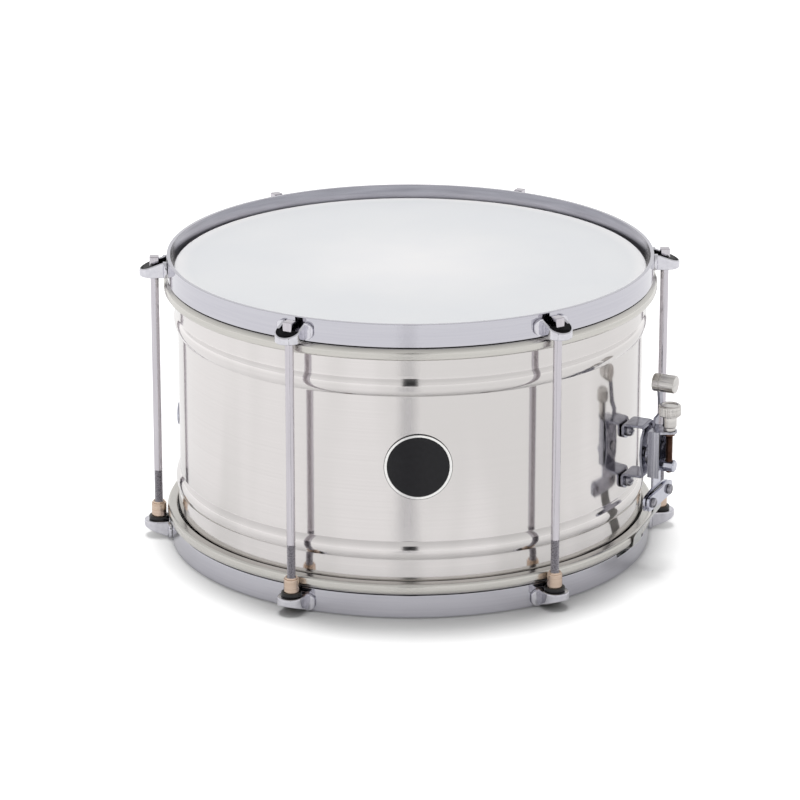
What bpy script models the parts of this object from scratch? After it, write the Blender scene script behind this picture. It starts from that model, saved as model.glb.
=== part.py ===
"""Caixa: a twelve inch Brazilian snare drum with a metal shell.

The drum stands on its snare-side hoop. Z is up, the origin is the drum's axis on the
floor, and the badge faces -Y. Lengths are written in millimetres and turned into metres
when a mesh is made. Fittings are drawn at azimuth 0, where x runs along the rim, -y points
out of the drum and z is up, and are then turned about the axis to their place.
"""
import math

import bmesh
import bpy
from mathutils import Matrix

MM = 0.001
GAP = 0.3

# Driving sizes
TOTAL_HEIGHT = 190.4
HOOP_RADIUS = 155.7
HOOP_WALL = 2.3
HOOP_HEIGHT = 14.7
SHELL_RADIUS = 149.4
SHELL_WALL = 1.5
RIM_ABOVE_HEAD = 8.2
FILM = 0.3
RING_STEPS = 44

# Tension rods, ears and nuts
ROD_COUNT = 6
ROD_CIRCLE = 163.6
FIRST_ROD_AZ = -30.0
ROD_RADIUS = 2.7
NUT_RADIUS = 4.8
EAR_HOLE_RADIUS = NUT_RADIUS + GAP
FLANGE_RADIUS = 6.2
SMALL_STEPS = 10
UPPER_EAR_FACE = 176.9
LOWER_EAR_FACE = 11.4
KEY_HEAD_TOP = 189.6
ROD_FOOT = 8.6
NUT_TOP = 23.7

# Snare fittings
STRAINER_AZ = 62.5
BUTT_AZ = STRAINER_AZ + 180.0
SHEET = 1.6
PIVOT_Z = 77.8
SLIDE_TRAVEL = 6.5
PIN_OFFSET = SLIDE_TRAVEL / 2.0
SCREW_CIRCLE = 179.1
MOUNT_SCREW_Z = (91.0, 57.4)
JAW_RADIUS = 169.8
JAW_Z = 49.8
BUTT_JAW_RADIUS = SHELL_RADIUS + GAP
BUTT_JAW_Z = 60.0
JAW_SCREW_T = 14.0
JAW_SHEET = 1.6
STRAP_HALF_WIDTH = 6.5
STRAP = 0.5
GATE_HALF_WIDTH = 23.0
GATE_FLOOR = 12.3
SNARE_STRANDS = 12
STRAND_PITCH = 2.0
STRAND_RADIUS = 0.8

# Badge and vent
BADGE_AZ = -1.0
BADGE_Z = 97.6
BADGE_RADIUS = 20.5
VENT_AZ = -96.0
VENT_Z = 78.0
VENT_HOLE_RADIUS = 4.7

MIDDLE = TOTAL_HEIGHT / 2.0
HEAD_HEIGHT = MIDDLE - RIM_ABOVE_HEAD


def clear_scene():
    """Remove every object of the open file."""
    for item in list(bpy.data.objects):
        bpy.data.objects.remove(item, do_unlink=True)


def material(name, colour, metallic, roughness):
    """Principled material from an sRGB hex colour."""
    linear = []
    for start in (0, 2, 4):
        value = int(colour[start:start + 2], 16) / 255.0
        linear.append(value / 12.92 if value <= 0.04045 else ((value + 0.055) / 1.055) ** 2.4)
    item = bpy.data.materials.new(name)
    item.use_nodes = True
    shader = item.node_tree.nodes["Principled BSDF"]
    shader.inputs["Base Color"].default_value = (*linear, 1.0)
    shader.inputs["Metallic"].default_value = metallic
    shader.inputs["Roughness"].default_value = roughness
    return item


def mesh_from(bm, name, smooth_angle=30.0):
    """Finish a bmesh as a mesh with outward faces and smooth round sides."""
    bmesh.ops.recalc_face_normals(bm, faces=bm.faces)
    mesh = bpy.data.meshes.new(name)
    bm.to_mesh(mesh)
    bm.free()
    mesh.shade_smooth()
    mesh.set_sharp_from_angle(angle=math.radians(smooth_angle))
    return mesh


def turned(name, profile, steps, on_axis=False):
    """Solid turned about Z from (radius, height) points, which end on the axis if asked."""
    bm = bmesh.new()
    points = [bm.verts.new((r * MM, 0.0, z * MM)) for r, z in profile]
    pairs = list(zip(points, points[1:]))
    if not on_axis:
        pairs.append((points[-1], points[0]))
    edges = [bm.edges.new(pair) for pair in pairs]
    bmesh.ops.spin(bm, geom=points + edges, cent=(0, 0, 0), axis=(0, 0, 1),
                   angle=2 * math.pi, steps=steps, use_merge=True)
    bmesh.ops.remove_doubles(bm, verts=bm.verts, dist=1e-6)
    return mesh_from(bm, name)


def loft(name, sections, smooth_angle=30.0):
    """Closed solid through loops of (x, y, z) points, with a cap at each end."""
    bm = bmesh.new()
    loops = [[bm.verts.new([c * MM for c in point]) for point in loop] for loop in sections]
    count = len(loops[0])
    for near, far in zip(loops, loops[1:]):
        for i in range(count):
            j = (i + 1) % count
            bm.faces.new((near[i], near[j], far[j], far[i]))
    bm.faces.new(list(reversed(loops[0])))
    bm.faces.new(loops[-1])
    return mesh_from(bm, name, smooth_angle)


def upright_plate(name, outline, inner, outer):
    """Flat plate facing out of the drum, from (z, half width) rows between two radii."""
    sections = [[(-half, -inner, z), (half, -inner, z), (half, -outer, z), (-half, -outer, z)]
                for z, half in outline]
    return loft(name, sections)


def bent_sheet(name, path, thickness):
    """Bent strip of sheet: path rows are (radius, z, half width) on its middle surface."""
    sections = []
    for i, (r, z, half) in enumerate(path):
        before = path[max(i - 1, 0)]
        after = path[min(i + 1, len(path) - 1)]
        along_r, along_z = after[0] - before[0], after[1] - before[1]
        length = math.hypot(along_r, along_z)
        off_r, off_z = along_z / length * thickness / 2, -along_r / length * thickness / 2
        sections.append([(-half, -(r - off_r), z - off_z), (half, -(r - off_r), z - off_z),
                         (half, -(r + off_r), z + off_z), (-half, -(r + off_r), z + off_z)])
    return loft(name, sections)


def pointing_out(mesh, radius, z, t=0.0):
    """Move a mesh turned about Z so that its axis points out of the drum at azimuth 0."""
    turn = Matrix.Rotation(math.radians(90.0), 4, "X")
    place = Matrix.Translation((t * MM, -radius * MM, z * MM))
    mesh.transform(place @ turn)
    return mesh


def box(name, low, high):
    """Box between two corner points."""
    sections = []
    for z in (low[2], high[2]):
        sections.append([(low[0], low[1], z), (high[0], low[1], z),
                         (high[0], high[1], z), (low[0], high[1], z)])
    return loft(name, sections)


def rod_mesh(name, radius, start, end, steps=SMALL_STEPS):
    """Plain cylinder along Z, used for shanks, holes and pins."""
    return turned(name, [(0.0, end), (radius, end), (radius, start), (0.0, start)], steps, True)


def combined(name, base, tools, operation):
    """Boolean of a mesh with others, returned as a new mesh."""
    body = bpy.data.objects.new(name, base)
    bpy.context.scene.collection.objects.link(body)
    helpers = []
    for tool in tools:
        helper = bpy.data.objects.new(name + "_tool", tool)
        bpy.context.scene.collection.objects.link(helper)
        helper.hide_render = True
        helper.display_type = "WIRE"
        step = body.modifiers.new("Boolean", "BOOLEAN")
        step.operation = operation
        step.solver = "EXACT"
        step.object = helper
        helpers.append(helper)
    view = bpy.context.evaluated_depsgraph_get()
    view.update()
    result = bpy.data.meshes.new_from_object(body.evaluated_get(view))
    for item in [body] + helpers:
        bpy.data.objects.remove(item, do_unlink=True)
    result.name = name
    result.shade_smooth()
    result.set_sharp_from_angle(angle=math.radians(30.0))
    return result


def place(name, mesh, finish, azimuth=0.0, location=(0.0, 0.0, 0.0), parent=None, turn=None):
    """Make a named object, turned to its azimuth, optionally under a joint's empty."""
    item = bpy.data.objects.new(name, mesh)
    bpy.context.scene.collection.objects.link(item)
    if not mesh.materials:
        mesh.materials.append(finish)
    matrix = Matrix.Rotation(math.radians(azimuth), 4, "Z")
    if turn is not None:
        matrix = matrix @ turn
    matrix = Matrix.Translation([c * MM for c in location]) @ matrix
    if parent is not None:
        item.parent = parent
        matrix = parent.matrix_basis.inverted() @ matrix
    item.matrix_basis = matrix
    return item


def joint_empty(name, location, azimuth):
    """Empty on a joint's axis, turned with the fitting that it carries."""
    item = bpy.data.objects.new(name, None)
    bpy.context.scene.collection.objects.link(item)
    turn = Matrix.Rotation(math.radians(azimuth), 4, "Z")
    item.matrix_basis = Matrix.Translation([c * MM for c in location]) @ turn
    return item


def at(radius, azimuth, z):
    """Point of the drum at a radius, azimuth and height."""
    angle = math.radians(azimuth)
    return (radius * math.sin(angle), -radius * math.cos(angle), z)


def mirrored(profile):
    """Ring profile of the batter side, turned over for the snare side, in real heights."""
    return [(r, MIDDLE - h) for r, h in reversed(profile)]


def upward(profile):
    """Ring profile of the batter side in real heights."""
    return [(r, MIDDLE + h) for r, h in profile]


# Shell: spun metal with a bead near each end and edges turned in at the bearing edge
SHELL_CREASE = 47.2
BEAD_RADIUS = 151.9
COLLAR_RADIUS = SHELL_RADIUS + 1.2
MOUNT_HOLE_RADIUS = 2.4


def shell_mesh():
    edge = HEAD_HEIGHT - FILM - GAP
    outer = [(144.2, edge - 4.1), (148.6, edge - 0.2), (150.0, edge - 0.5),
             (COLLAR_RADIUS, edge - 2.4), (COLLAR_RADIUS, 60.8), (BEAD_RADIUS, 58.0),
             (BEAD_RADIUS, 50.6), (151.0, 49.0), (SHELL_RADIUS, SHELL_CREASE)]
    inner = [(SHELL_RADIUS - SHELL_WALL, SHELL_CREASE), (150.3, 51.6), (150.3, 57.4),
             (149.1, 60.4), (149.1, edge - 2.9), (145.3, edge - 5.2)]
    lower_outer = [(r, -h) for r, h in reversed(outer)]
    lower_inner = [(r, -h) for r, h in reversed(inner)]
    profile = upward(outer + lower_outer + lower_inner + inner)
    body = turned("shell", profile, RING_STEPS)
    drills = [radial_drill(STRAINER_AZ, z, MOUNT_HOLE_RADIUS) for z in MOUNT_SCREW_Z]
    for t in (-JAW_SCREW_T, JAW_SCREW_T):
        drills.append(radial_drill(BUTT_AZ, BUTT_JAW_Z, MOUNT_HOLE_RADIUS, t))
    drills.append(radial_drill(VENT_AZ, VENT_Z, VENT_HOLE_RADIUS))
    return combined("shell", body, drills, "DIFFERENCE")


def radial_drill(azimuth, z, radius, t=0.0):
    """Cutter for a hole through the shell wall."""
    mesh = rod_mesh("drill", radius, -10.0, 10.0)
    pointing_out(mesh, SHELL_RADIUS, z, t)
    mesh.transform(Matrix.Rotation(math.radians(azimuth), 4, "Z"))
    return mesh


# Heads: a film over the bearing edge with a collar down inside the flesh hoop
COLLAR_END = 77.0


def head_profile():
    top = HEAD_HEIGHT
    low = top - FILM
    outer = 151.25
    inner = outer - FILM
    return [(0.0, top), (150.2, top), (outer, top - 1.5), (outer, COLLAR_END),
            (inner, COLLAR_END), (inner, top - 1.6), (150.05, low), (0.0, low)]


# Flesh hoops: rounded rings with an open groove where the film's edge is held
FLESH_RADIUS = 158.0


def flesh_hoop_profile():
    seat = MIDDLE - HOOP_HEIGHT - GAP
    foot = seat - 7.8
    return [(151.6, seat), (155.6, seat), (157.2, seat - 1.3), (FLESH_RADIUS, seat - 3.4),
            (FLESH_RADIUS, seat - 5.8), (156.8, foot), (152.7, foot), (152.7, foot + 3.6),
            (151.6, foot + 4.4)]


# Outer hoops: flat bands that the ears pull down on the flesh hoops
def hoop_profile():
    inner = HOOP_RADIUS - HOOP_WALL
    foot = MIDDLE - HOOP_HEIGHT
    chamfer = 0.3
    return [(inner, MIDDLE), (HOOP_RADIUS - chamfer, MIDDLE), (HOOP_RADIUS, MIDDLE - chamfer),
            (HOOP_RADIUS, foot), (inner, foot)]


def snare_hoop_mesh():
    """Snare-side hoop, with a gate in its upper edge for each strap."""
    band = turned("snare_hoop", mirrored(hoop_profile()), RING_STEPS)
    gates = []
    for azimuth in (STRAINER_AZ, BUTT_AZ):
        gate = box("gate", (-GATE_HALF_WIDTH, -HOOP_RADIUS - 4.0, GATE_FLOOR),
                   (GATE_HALF_WIDTH, -HOOP_RADIUS + 10.0, HOOP_HEIGHT + 2.0))
        gate.transform(Matrix.Rotation(math.radians(azimuth), 4, "Z"))
        gates.append(gate)
    return combined("snare_hoop", band, gates, "DIFFERENCE")


# Ears: cast cups, open on one side, with two wings that lie on the hoop
EAR_HALF_WIDTH = 8.3
EAR_WALL = 1.5
EAR_CENTRE = 165.0
EAR_ROOT = 156.1
EAR_LIP = 7.6
EAR_REACH = 11.0
EAR_FLOOR = 2.0
EAR_ARC_STEPS = 6


def ear_outline(half, radius_shift):
    """Points of the cup's wall in plan, from one root round the nose to the other."""
    points = [(-half, EAR_ROOT)]
    for i in range(EAR_ARC_STEPS + 1):
        angle = math.pi * i / EAR_ARC_STEPS
        points.append((-half * math.cos(angle), EAR_CENTRE + radius_shift * math.sin(angle)))
    points.append((half, EAR_ROOT))
    return points


def ear_mesh():
    """One ear with its closed face at z = 0 and its open side up."""
    inner_half = EAR_HALF_WIDTH - EAR_WALL
    outer = ear_outline(EAR_HALF_WIDTH, EAR_HALF_WIDTH)
    inner = ear_outline(inner_half, inner_half)
    slope = (EAR_REACH - EAR_LIP) / (EAR_CENTRE - EAR_ROOT)
    sections = []
    for (xo, ro), (xi, ri) in zip(outer, inner):
        lip_out = EAR_LIP + max(EAR_CENTRE - ro, 0.0) * slope
        lip_in = EAR_LIP + max(EAR_CENTRE - ri, 0.0) * slope
        sections.append([(xo, -ro, 0.0), (xo, -ro, lip_out), (xi, -ri, lip_in), (xi, -ri, 0.0)])
    wall = loft("ear", sections)
    overlap = EAR_WALL / 2
    floor_outline = ear_outline(inner_half + overlap, inner_half + overlap)
    floor = loft("ear_floor", [[(x, -r, z) for x, r in floor_outline] for z in (0.0, EAR_FLOOR)])
    parts = [floor]
    for side in (-1, 1):
        wing = []
        for t, inset, thick in ((6.9, 0.2, 2.4), (10.4, 0.2, 2.4), (12.4, 1.8, 1.2)):
            bow = HOOP_RADIUS + GAP - math.hypot(HOOP_RADIUS + GAP, t)
            near = HOOP_RADIUS + GAP + bow
            far, foot, top = near + thick, inset, EAR_REACH - inset
            wing.append([(side * t, -near, foot), (side * t, -near, top),
                         (side * t, -far, top), (side * t, -far, foot)])
        parts.append(loft("ear_wing", wing))
    body = combined("ear", wall, parts, "UNION")
    hole = rod_mesh("ear_hole", EAR_HOLE_RADIUS, -2.0, EAR_FLOOR + 2.0)
    hole.transform(Matrix.Translation((0.0, -ROD_CIRCLE * MM, 0.0)))
    return combined("ear", body, [hole], "DIFFERENCE")


# Tension rods: a square key head on a round flange, and a plain shaft down to the nut
KEY_HEAD_HALF = 3.05
KEY_HEAD_CORNER = 0.7


def tension_rod_mesh():
    flange_low = UPPER_EAR_FACE + EAR_FLOOR + GAP
    flange_top = flange_low + 1.5
    shaft = turned("tension_rod", [(0.0, flange_top), (FLANGE_RADIUS, flange_top),
                                   (FLANGE_RADIUS, flange_low), (ROD_RADIUS, flange_low),
                                   (ROD_RADIUS, ROD_FOOT), (0.0, ROD_FOOT)], SMALL_STEPS, True)
    sections = []
    c = KEY_HEAD_CORNER
    for z, inset in ((flange_top - 0.5, 0.0), (KEY_HEAD_TOP - 0.8, 0.0), (KEY_HEAD_TOP, 0.8)):
        h = KEY_HEAD_HALF - inset
        sections.append([(-h + c, -h, z), (h - c, -h, z), (h, -h + c, z), (h, h - c, z),
                         (h - c, h, z), (-h + c, h, z), (-h, h - c, z), (-h, -h + c, z)])
    return combined("tension_rod", shaft, [loft("key_head", sections)], "UNION")


# Sleeve nuts: brass sleeves whose flange pulls up against the ear from below
def sleeve_nut_mesh():
    bore = ROD_RADIUS + 0.35
    face = LOWER_EAR_FACE - EAR_FLOOR - GAP
    return turned("sleeve_nut", [(bore, NUT_TOP), (NUT_RADIUS - 0.5, NUT_TOP),
                                 (NUT_RADIUS, NUT_TOP - 0.5), (NUT_RADIUS, face),
                                 (FLANGE_RADIUS, face), (FLANGE_RADIUS, face - 1.8),
                                 (bore, face - 1.8)], SMALL_STEPS)


# Nut washers: thick black rings between the ear's face and the visible end of the nut
def nut_washer_mesh():
    low = LOWER_EAR_FACE + GAP
    top = low + 2.3
    return turned("nut_washer", [(EAR_HOLE_RADIUS, top), (6.2, top), (6.6, low),
                                 (EAR_HOLE_RADIUS, low)], SMALL_STEPS)


# Strainer bracket: one strip with two screwed feet, two arms and a bowed web
BRACKET_HALF = 8.5
FOOT_DROP = 5.0
FOOT_RADIUS = 150.6
WEB_END = 164.7
WEB_BOW = 1.8
UPPER_ARM_Z = 96.6
LOWER_ARM_Z = 63.4
BEND = 1.8


def foot_rows(screw_z, downward_from):
    """Rounded foot end below a screw, listed from its tip up to the screw's height."""
    rows = []
    for angle in (70.0, 45.0, 20.0, 0.0):
        drop = FOOT_DROP * math.sin(math.radians(angle))
        half = BRACKET_HALF * math.cos(math.radians(angle))
        rows.append((FOOT_RADIUS, screw_z - drop, half))
    rows.append((FOOT_RADIUS, downward_from, BRACKET_HALF))
    return rows


def strainer_bracket_mesh():
    half = BRACKET_HALF
    upper, lower = UPPER_ARM_Z, LOWER_ARM_Z
    path = foot_rows(MOUNT_SCREW_Z[0], upper - BEND)
    path += [(FOOT_RADIUS + 0.5, upper - 0.5, half), (FOOT_RADIUS + BEND, upper, half),
             (WEB_END - BEND, upper, half), (WEB_END - 0.5, upper - 0.5, half),
             (WEB_END, upper - BEND, half), (WEB_END - 1.3, upper - 8.0, half),
             (WEB_END - WEB_BOW, PIVOT_Z, half), (WEB_END - 1.3, lower + 8.0, half),
             (WEB_END, lower + BEND, half), (WEB_END - 0.5, lower + 0.5, half),
             (WEB_END - BEND, lower, half), (FOOT_RADIUS + BEND, lower, half),
             (FOOT_RADIUS + 0.5, lower - 0.5, half)]
    path += list(reversed(foot_rows(MOUNT_SCREW_Z[1], lower - BEND)))
    strip = bent_sheet("strainer_bracket", path, SHEET)
    holes = []
    for z in MOUNT_SCREW_Z:
        holes.append(pointing_out(rod_mesh("hole", MOUNT_HOLE_RADIUS, -3.0, 3.0),
                                  FOOT_RADIUS, z))
    holes.append(pointing_out(rod_mesh("hole", RIVET_RADIUS + GAP, -3.0, 3.0),
                              WEB_END - WEB_BOW, PIVOT_Z))
    return combined("strainer_bracket", strip, holes, "DIFFERENCE")


# Mounting screws: slotted cheese head outside, shank through the wall and a nut inside
def mounting_screw_mesh(seat, nut_face, head_radius, head_height, slot_half):
    nut_top = nut_face - seat
    screw = turned("mounting_screw", [(0.0, head_height), (head_radius - 0.7, head_height - 0.2),
                                      (head_radius, head_height - 1.0), (head_radius, 0.0),
                                      (2.0, 0.0), (2.0, nut_top), (3.8, nut_top),
                                      (3.8, nut_top - 2.6), (2.0, nut_top - 2.6),
                                      (2.0, nut_top - 4.2), (0.0, nut_top - 4.2)],
                   SMALL_STEPS, True)
    slot = box("slot", (-5.0, -slot_half, head_height / 2), (5.0, slot_half, 6.0))
    return pointing_out(combined("mounting_screw", screw, [slot], "DIFFERENCE"), seat, 0.0)


# Lever: a round root on the pivot, a drive pin, and an arm that leans past the tension knob
# and steps out to the barrel
RIVET_RADIUS = 1.6
LEVER_RADIUS = 165.9
LEVER_ROOT = 8.0
LEVER_STEP = 3.4
BARREL_T = 2.0
BARREL_Z = 124.5
BARREL_RADIUS = 5.8
BARREL_INNER = 167.5
BARREL_OUTER = 182.2


def lever_mesh():
    rows = []
    for angle in (75.0, 50.0, 25.0, 0.0, -28.0):
        rows.append((PIVOT_Z - LEVER_ROOT * math.sin(math.radians(angle)), 0.0,
                     LEVER_ROOT * math.cos(math.radians(angle)), 0.0))
    rows += [(PIVOT_Z + 7.4, 2.2, 5.4, 0.0), (89.4, 5.4, 4.0, 0.0), (95.0, 7.9, 3.4, 0.0),
             (99.0, 9.0, 3.1, 0.0), (103.0, 8.7, 3.0, LEVER_STEP),
             (BARREL_Z + 1.5, BARREL_T + 1.0, 2.4, LEVER_STEP)]
    sections = []
    for z, middle, half, out in rows:
        near = LEVER_RADIUS + out
        low, high = middle - half, middle + half
        sections.append([(low, -near, z), (high, -near, z), (high, -(near + SHEET), z),
                         (low, -(near + SHEET), z)])
    plate = loft("throw_off_lever", sections)
    pin = pointing_out(rod_mesh("drive_pin", 1.3, 0.4, 3.3, 8), LEVER_RADIUS,
                       PIVOT_Z + PIN_OFFSET, PIN_OFFSET)
    body = combined("throw_off_lever", plate, [pin], "UNION")
    hole = pointing_out(rod_mesh("hole", RIVET_RADIUS + GAP, -3.0, 3.0), LEVER_RADIUS, PIVOT_Z)
    return combined("throw_off_lever", body, [hole], "DIFFERENCE")


def lever_rivet_mesh():
    """Rivet that the lever turns on, with a shoulder between the web and the lever."""
    web = WEB_END - WEB_BOW
    shoulder = (web + SHEET / 2 + GAP, LEVER_RADIUS - GAP)
    cap = SLIDE_RADIUS + SLIDE_SHEET + GAP
    base = web - SHEET / 2 - GAP
    profile = [(0.0, cap + 1.1), (2.4, cap + 1.1), (3.1, cap + 0.5), (3.1, cap),
               (RIVET_RADIUS, cap), (RIVET_RADIUS, shoulder[1]), (3.2, shoulder[1]),
               (3.2, shoulder[0]), (RIVET_RADIUS, shoulder[0]), (RIVET_RADIUS, base),
               (3.4, base), (3.0, base - 1.0), (0.0, base - 1.2)]
    return pointing_out(turned("lever_rivet", profile, 10, True), 0.0, PIVOT_Z)


def lever_barrel_mesh():
    """Barrel that the thumb pushes, slotted underneath for the lever's tip."""
    full, groove = BARREL_RADIUS, BARREL_RADIUS - 0.7
    profile = [(0.0, BARREL_OUTER), (full - 0.9, BARREL_OUTER), (full, BARREL_OUTER - 0.9),
               (full, BARREL_INNER + 5.2), (groove, BARREL_INNER + 5.1),
               (groove, BARREL_INNER + 4.4), (full, BARREL_INNER + 4.3),
               (full, BARREL_INNER + 0.6), (full - 0.6, BARREL_INNER), (0.0, BARREL_INNER)]
    barrel = pointing_out(turned("lever_barrel", profile, 16, True), 0.0, BARREL_Z, BARREL_T)
    near = LEVER_RADIUS + LEVER_STEP
    slot = box("slot", (BARREL_T - 2.6, -(near + SHEET + 0.4), BARREL_Z - 9.0),
               (BARREL_T + 5.0, -(near - 0.4), BARREL_Z + 2.0))
    return combined("lever_barrel", barrel, [slot], "DIFFERENCE")


# Slide: a channel lifted by the lever's pin, with an ear on top for the tension knob
SLIDE_RADIUS = 167.8
SLIDE_SHEET = 1.4
SLIDE_HALF = 8.3
SLIDE_LOW = 64.0
SLIDE_TOP = 94.6
CHEEK_REACH = 175.3
EAR_PLATE_LOW = SLIDE_TOP - SHEET
EAR_PLATE_RADIUS = 5.0
KNOB_SCREW_RADIUS = 2.3


def strainer_slide_mesh():
    inner_half = SLIDE_HALF - SLIDE_SHEET
    web_face = SLIDE_RADIUS + SLIDE_SHEET
    channel = [(-SLIDE_HALF, -SLIDE_RADIUS), (SLIDE_HALF, -SLIDE_RADIUS),
               (SLIDE_HALF, -CHEEK_REACH), (inner_half, -CHEEK_REACH), (inner_half, -web_face),
               (-inner_half, -web_face), (-inner_half, -CHEEK_REACH), (-SLIDE_HALF, -CHEEK_REACH)]
    body = loft("strainer_slide", [[(x, y, z) for x, y in channel]
                                   for z in (SLIDE_LOW, SLIDE_TOP)])
    plan = [(-SLIDE_HALF, -SLIDE_RADIUS - 0.4), (-SLIDE_HALF, -CHEEK_REACH + 2.0)]
    for i in range(7):
        angle = math.pi * i / 6
        plan.append((-EAR_PLATE_RADIUS * math.cos(angle),
                     -SCREW_CIRCLE - EAR_PLATE_RADIUS * math.sin(angle)))
    plan += [(SLIDE_HALF, -CHEEK_REACH + 2.0), (SLIDE_HALF, -SLIDE_RADIUS - 0.4)]
    ear = loft("ear_plate", [[(x, y, z) for x, y in plan]
                             for z in (EAR_PLATE_LOW, SLIDE_TOP)])
    body = combined("strainer_slide", body, [ear], "UNION")
    rivet_slot = box("slot", (-1.9, -SLIDE_RADIUS - 4.0, PIVOT_Z - 2.1),
                     (1.9, -SLIDE_RADIUS + 2.0, PIVOT_Z + SLIDE_TRAVEL + 2.1))
    pin_z = PIVOT_Z + PIN_OFFSET
    pin_slot = box("slot", (1.5, -SLIDE_RADIUS - 3.0, pin_z - 1.85),
                   (6.4, -SLIDE_RADIUS + 1.0, pin_z + 1.85))
    hole = rod_mesh("hole", KNOB_SCREW_RADIUS + 0.4, 80.0, SLIDE_TOP + 4.0)
    hole.transform(Matrix.Translation((0.0, -SCREW_CIRCLE * MM, 0.0)))
    return combined("strainer_slide", body, [rivet_slot, pin_slot, hole], "DIFFERENCE")


# Tension knob: knurled head, collar and the screw that runs through the trunnion
KNOB_RADIUS = 7.1
KNOB_LOW = 104.4
KNOB_TOP = 111.7
KNOB_COLLAR_RADIUS = 4.5
SCREW_FOOT = 66.6


def tension_knob_mesh():
    seat = SLIDE_TOP + GAP
    clip = EAR_PLATE_LOW - GAP
    collar, screw = KNOB_COLLAR_RADIUS, KNOB_SCREW_RADIUS
    profile = [(0.0, KNOB_TOP), (KNOB_RADIUS - 1.6, KNOB_TOP), (KNOB_RADIUS, KNOB_TOP - 1.4),
               (KNOB_RADIUS, KNOB_LOW + 0.6), (KNOB_RADIUS - 0.8, KNOB_LOW), (collar, KNOB_LOW),
               (collar, seat + 2.6), (collar - 0.6, seat + 1.8), (collar - 0.6, seat),
               (screw, seat), (screw, clip), (3.6, clip), (3.6, clip - 1.2),
               (screw, clip - 1.2), (screw, SCREW_FOOT + 0.8), (1.6, SCREW_FOOT),
               (0.0, SCREW_FOOT)]
    return turned("tension_knob", profile, 16, True)


# Trunnion nut: a short round bar across the screw, fixed to the tension plate
TRUNNION_Z = 71.0
TRUNNION_RADIUS = 4.1


def trunnion_mesh():
    near = JAW_RADIUS + SHEET + GAP
    far = 183.5
    profile = [(0.0, far), (TRUNNION_RADIUS - 0.8, far), (TRUNNION_RADIUS, far - 0.8),
               (TRUNNION_RADIUS, near), (0.0, near)]
    bar = pointing_out(turned("trunnion_nut", profile, SMALL_STEPS, True), 0.0, TRUNNION_Z)
    hole = rod_mesh("hole", KNOB_SCREW_RADIUS + 0.35, TRUNNION_Z - 8.0, TRUNNION_Z + 8.0)
    hole.transform(Matrix.Translation((0.0, -SCREW_CIRCLE * MM, 0.0)))
    return combined("trunnion_nut", bar, [hole], "DIFFERENCE")


# Jaws: two plates at each end of the snares that hold the strap, drawn together by screws
JAW_HALF_WIDTH = 20.5
JAW_HALF_HEIGHT = 4.8
BUTT_JAW_HALF_HEIGHT = 6.4
JAW_SCREW_RADIUS = 1.7
STEM_HALF = 6.4
STEM_TOP = 72.2


def jaw_rows(half_height):
    """Rows of a jaw with rounded corners about z = 0, from its foot to its top."""
    h, w = half_height, JAW_HALF_WIDTH
    return [(-h, w - 2.4), (-h + 0.8, w - 0.8), (-h + 2.4, w), (h - 2.4, w),
            (h - 0.8, w - 0.8), (h, w - 2.4)]


def jaw_holes(radius, screw_radius, z=0.0):
    """Cutters for the two screws at a jaw."""
    return [pointing_out(rod_mesh("hole", screw_radius + 0.35, -4.0, 4.0), radius, z, t)
            for t in (-JAW_SCREW_T, JAW_SCREW_T)]


def tension_plate_mesh():
    """Rear jaw at the strainer, with a stem up to the trunnion."""
    rows = [(JAW_Z + z, w) for z, w in jaw_rows(JAW_HALF_HEIGHT)]
    rows += [(JAW_Z + JAW_HALF_HEIGHT + 1.6, STEM_HALF), (STEM_TOP, STEM_HALF)]
    plate = upright_plate("tension_plate", rows, JAW_RADIUS, JAW_RADIUS + SHEET)
    holes = jaw_holes(JAW_RADIUS, JAW_SCREW_RADIUS, JAW_Z)
    return combined("tension_plate", plate, holes, "DIFFERENCE")


def jaw_mesh(name, inner, thickness, half_height, screw_radius):
    """Plain jaw about z = 0."""
    plate = upright_plate(name, jaw_rows(half_height), inner, inner + thickness)
    return combined(name, plate, jaw_holes(inner, screw_radius), "DIFFERENCE")


def clamp_screw_mesh(seat, tip):
    """Slotted pan head with a plain shank, about z = 0."""
    shank = JAW_SCREW_RADIUS
    screw = turned("clamp_screw", [(0.0, 2.1), (1.9, 1.9), (3.0, 1.1), (3.3, 0.0),
                                   (shank, 0.0), (shank, tip - seat), (0.0, tip - seat)],
                   SMALL_STEPS, True)
    slot = box("slot", (-4.0, -0.4, 1.2), (4.0, 0.4, 4.0))
    return pointing_out(combined("clamp_screw", screw, [slot], "DIFFERENCE"), seat, 0.0)


# Straps: a ribbon from the jaws over the flesh hoop, through the gate and under the head
def strap_radius(rear_jaw, thickness):
    """Radius of the strap's middle, held in front of a rear jaw."""
    return rear_jaw + thickness + GAP + STRAP / 2


def front_jaw_radius(rear_jaw, thickness):
    """Radius of the front jaw's inner face."""
    return strap_radius(rear_jaw, thickness) + STRAP / 2 + GAP


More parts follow.
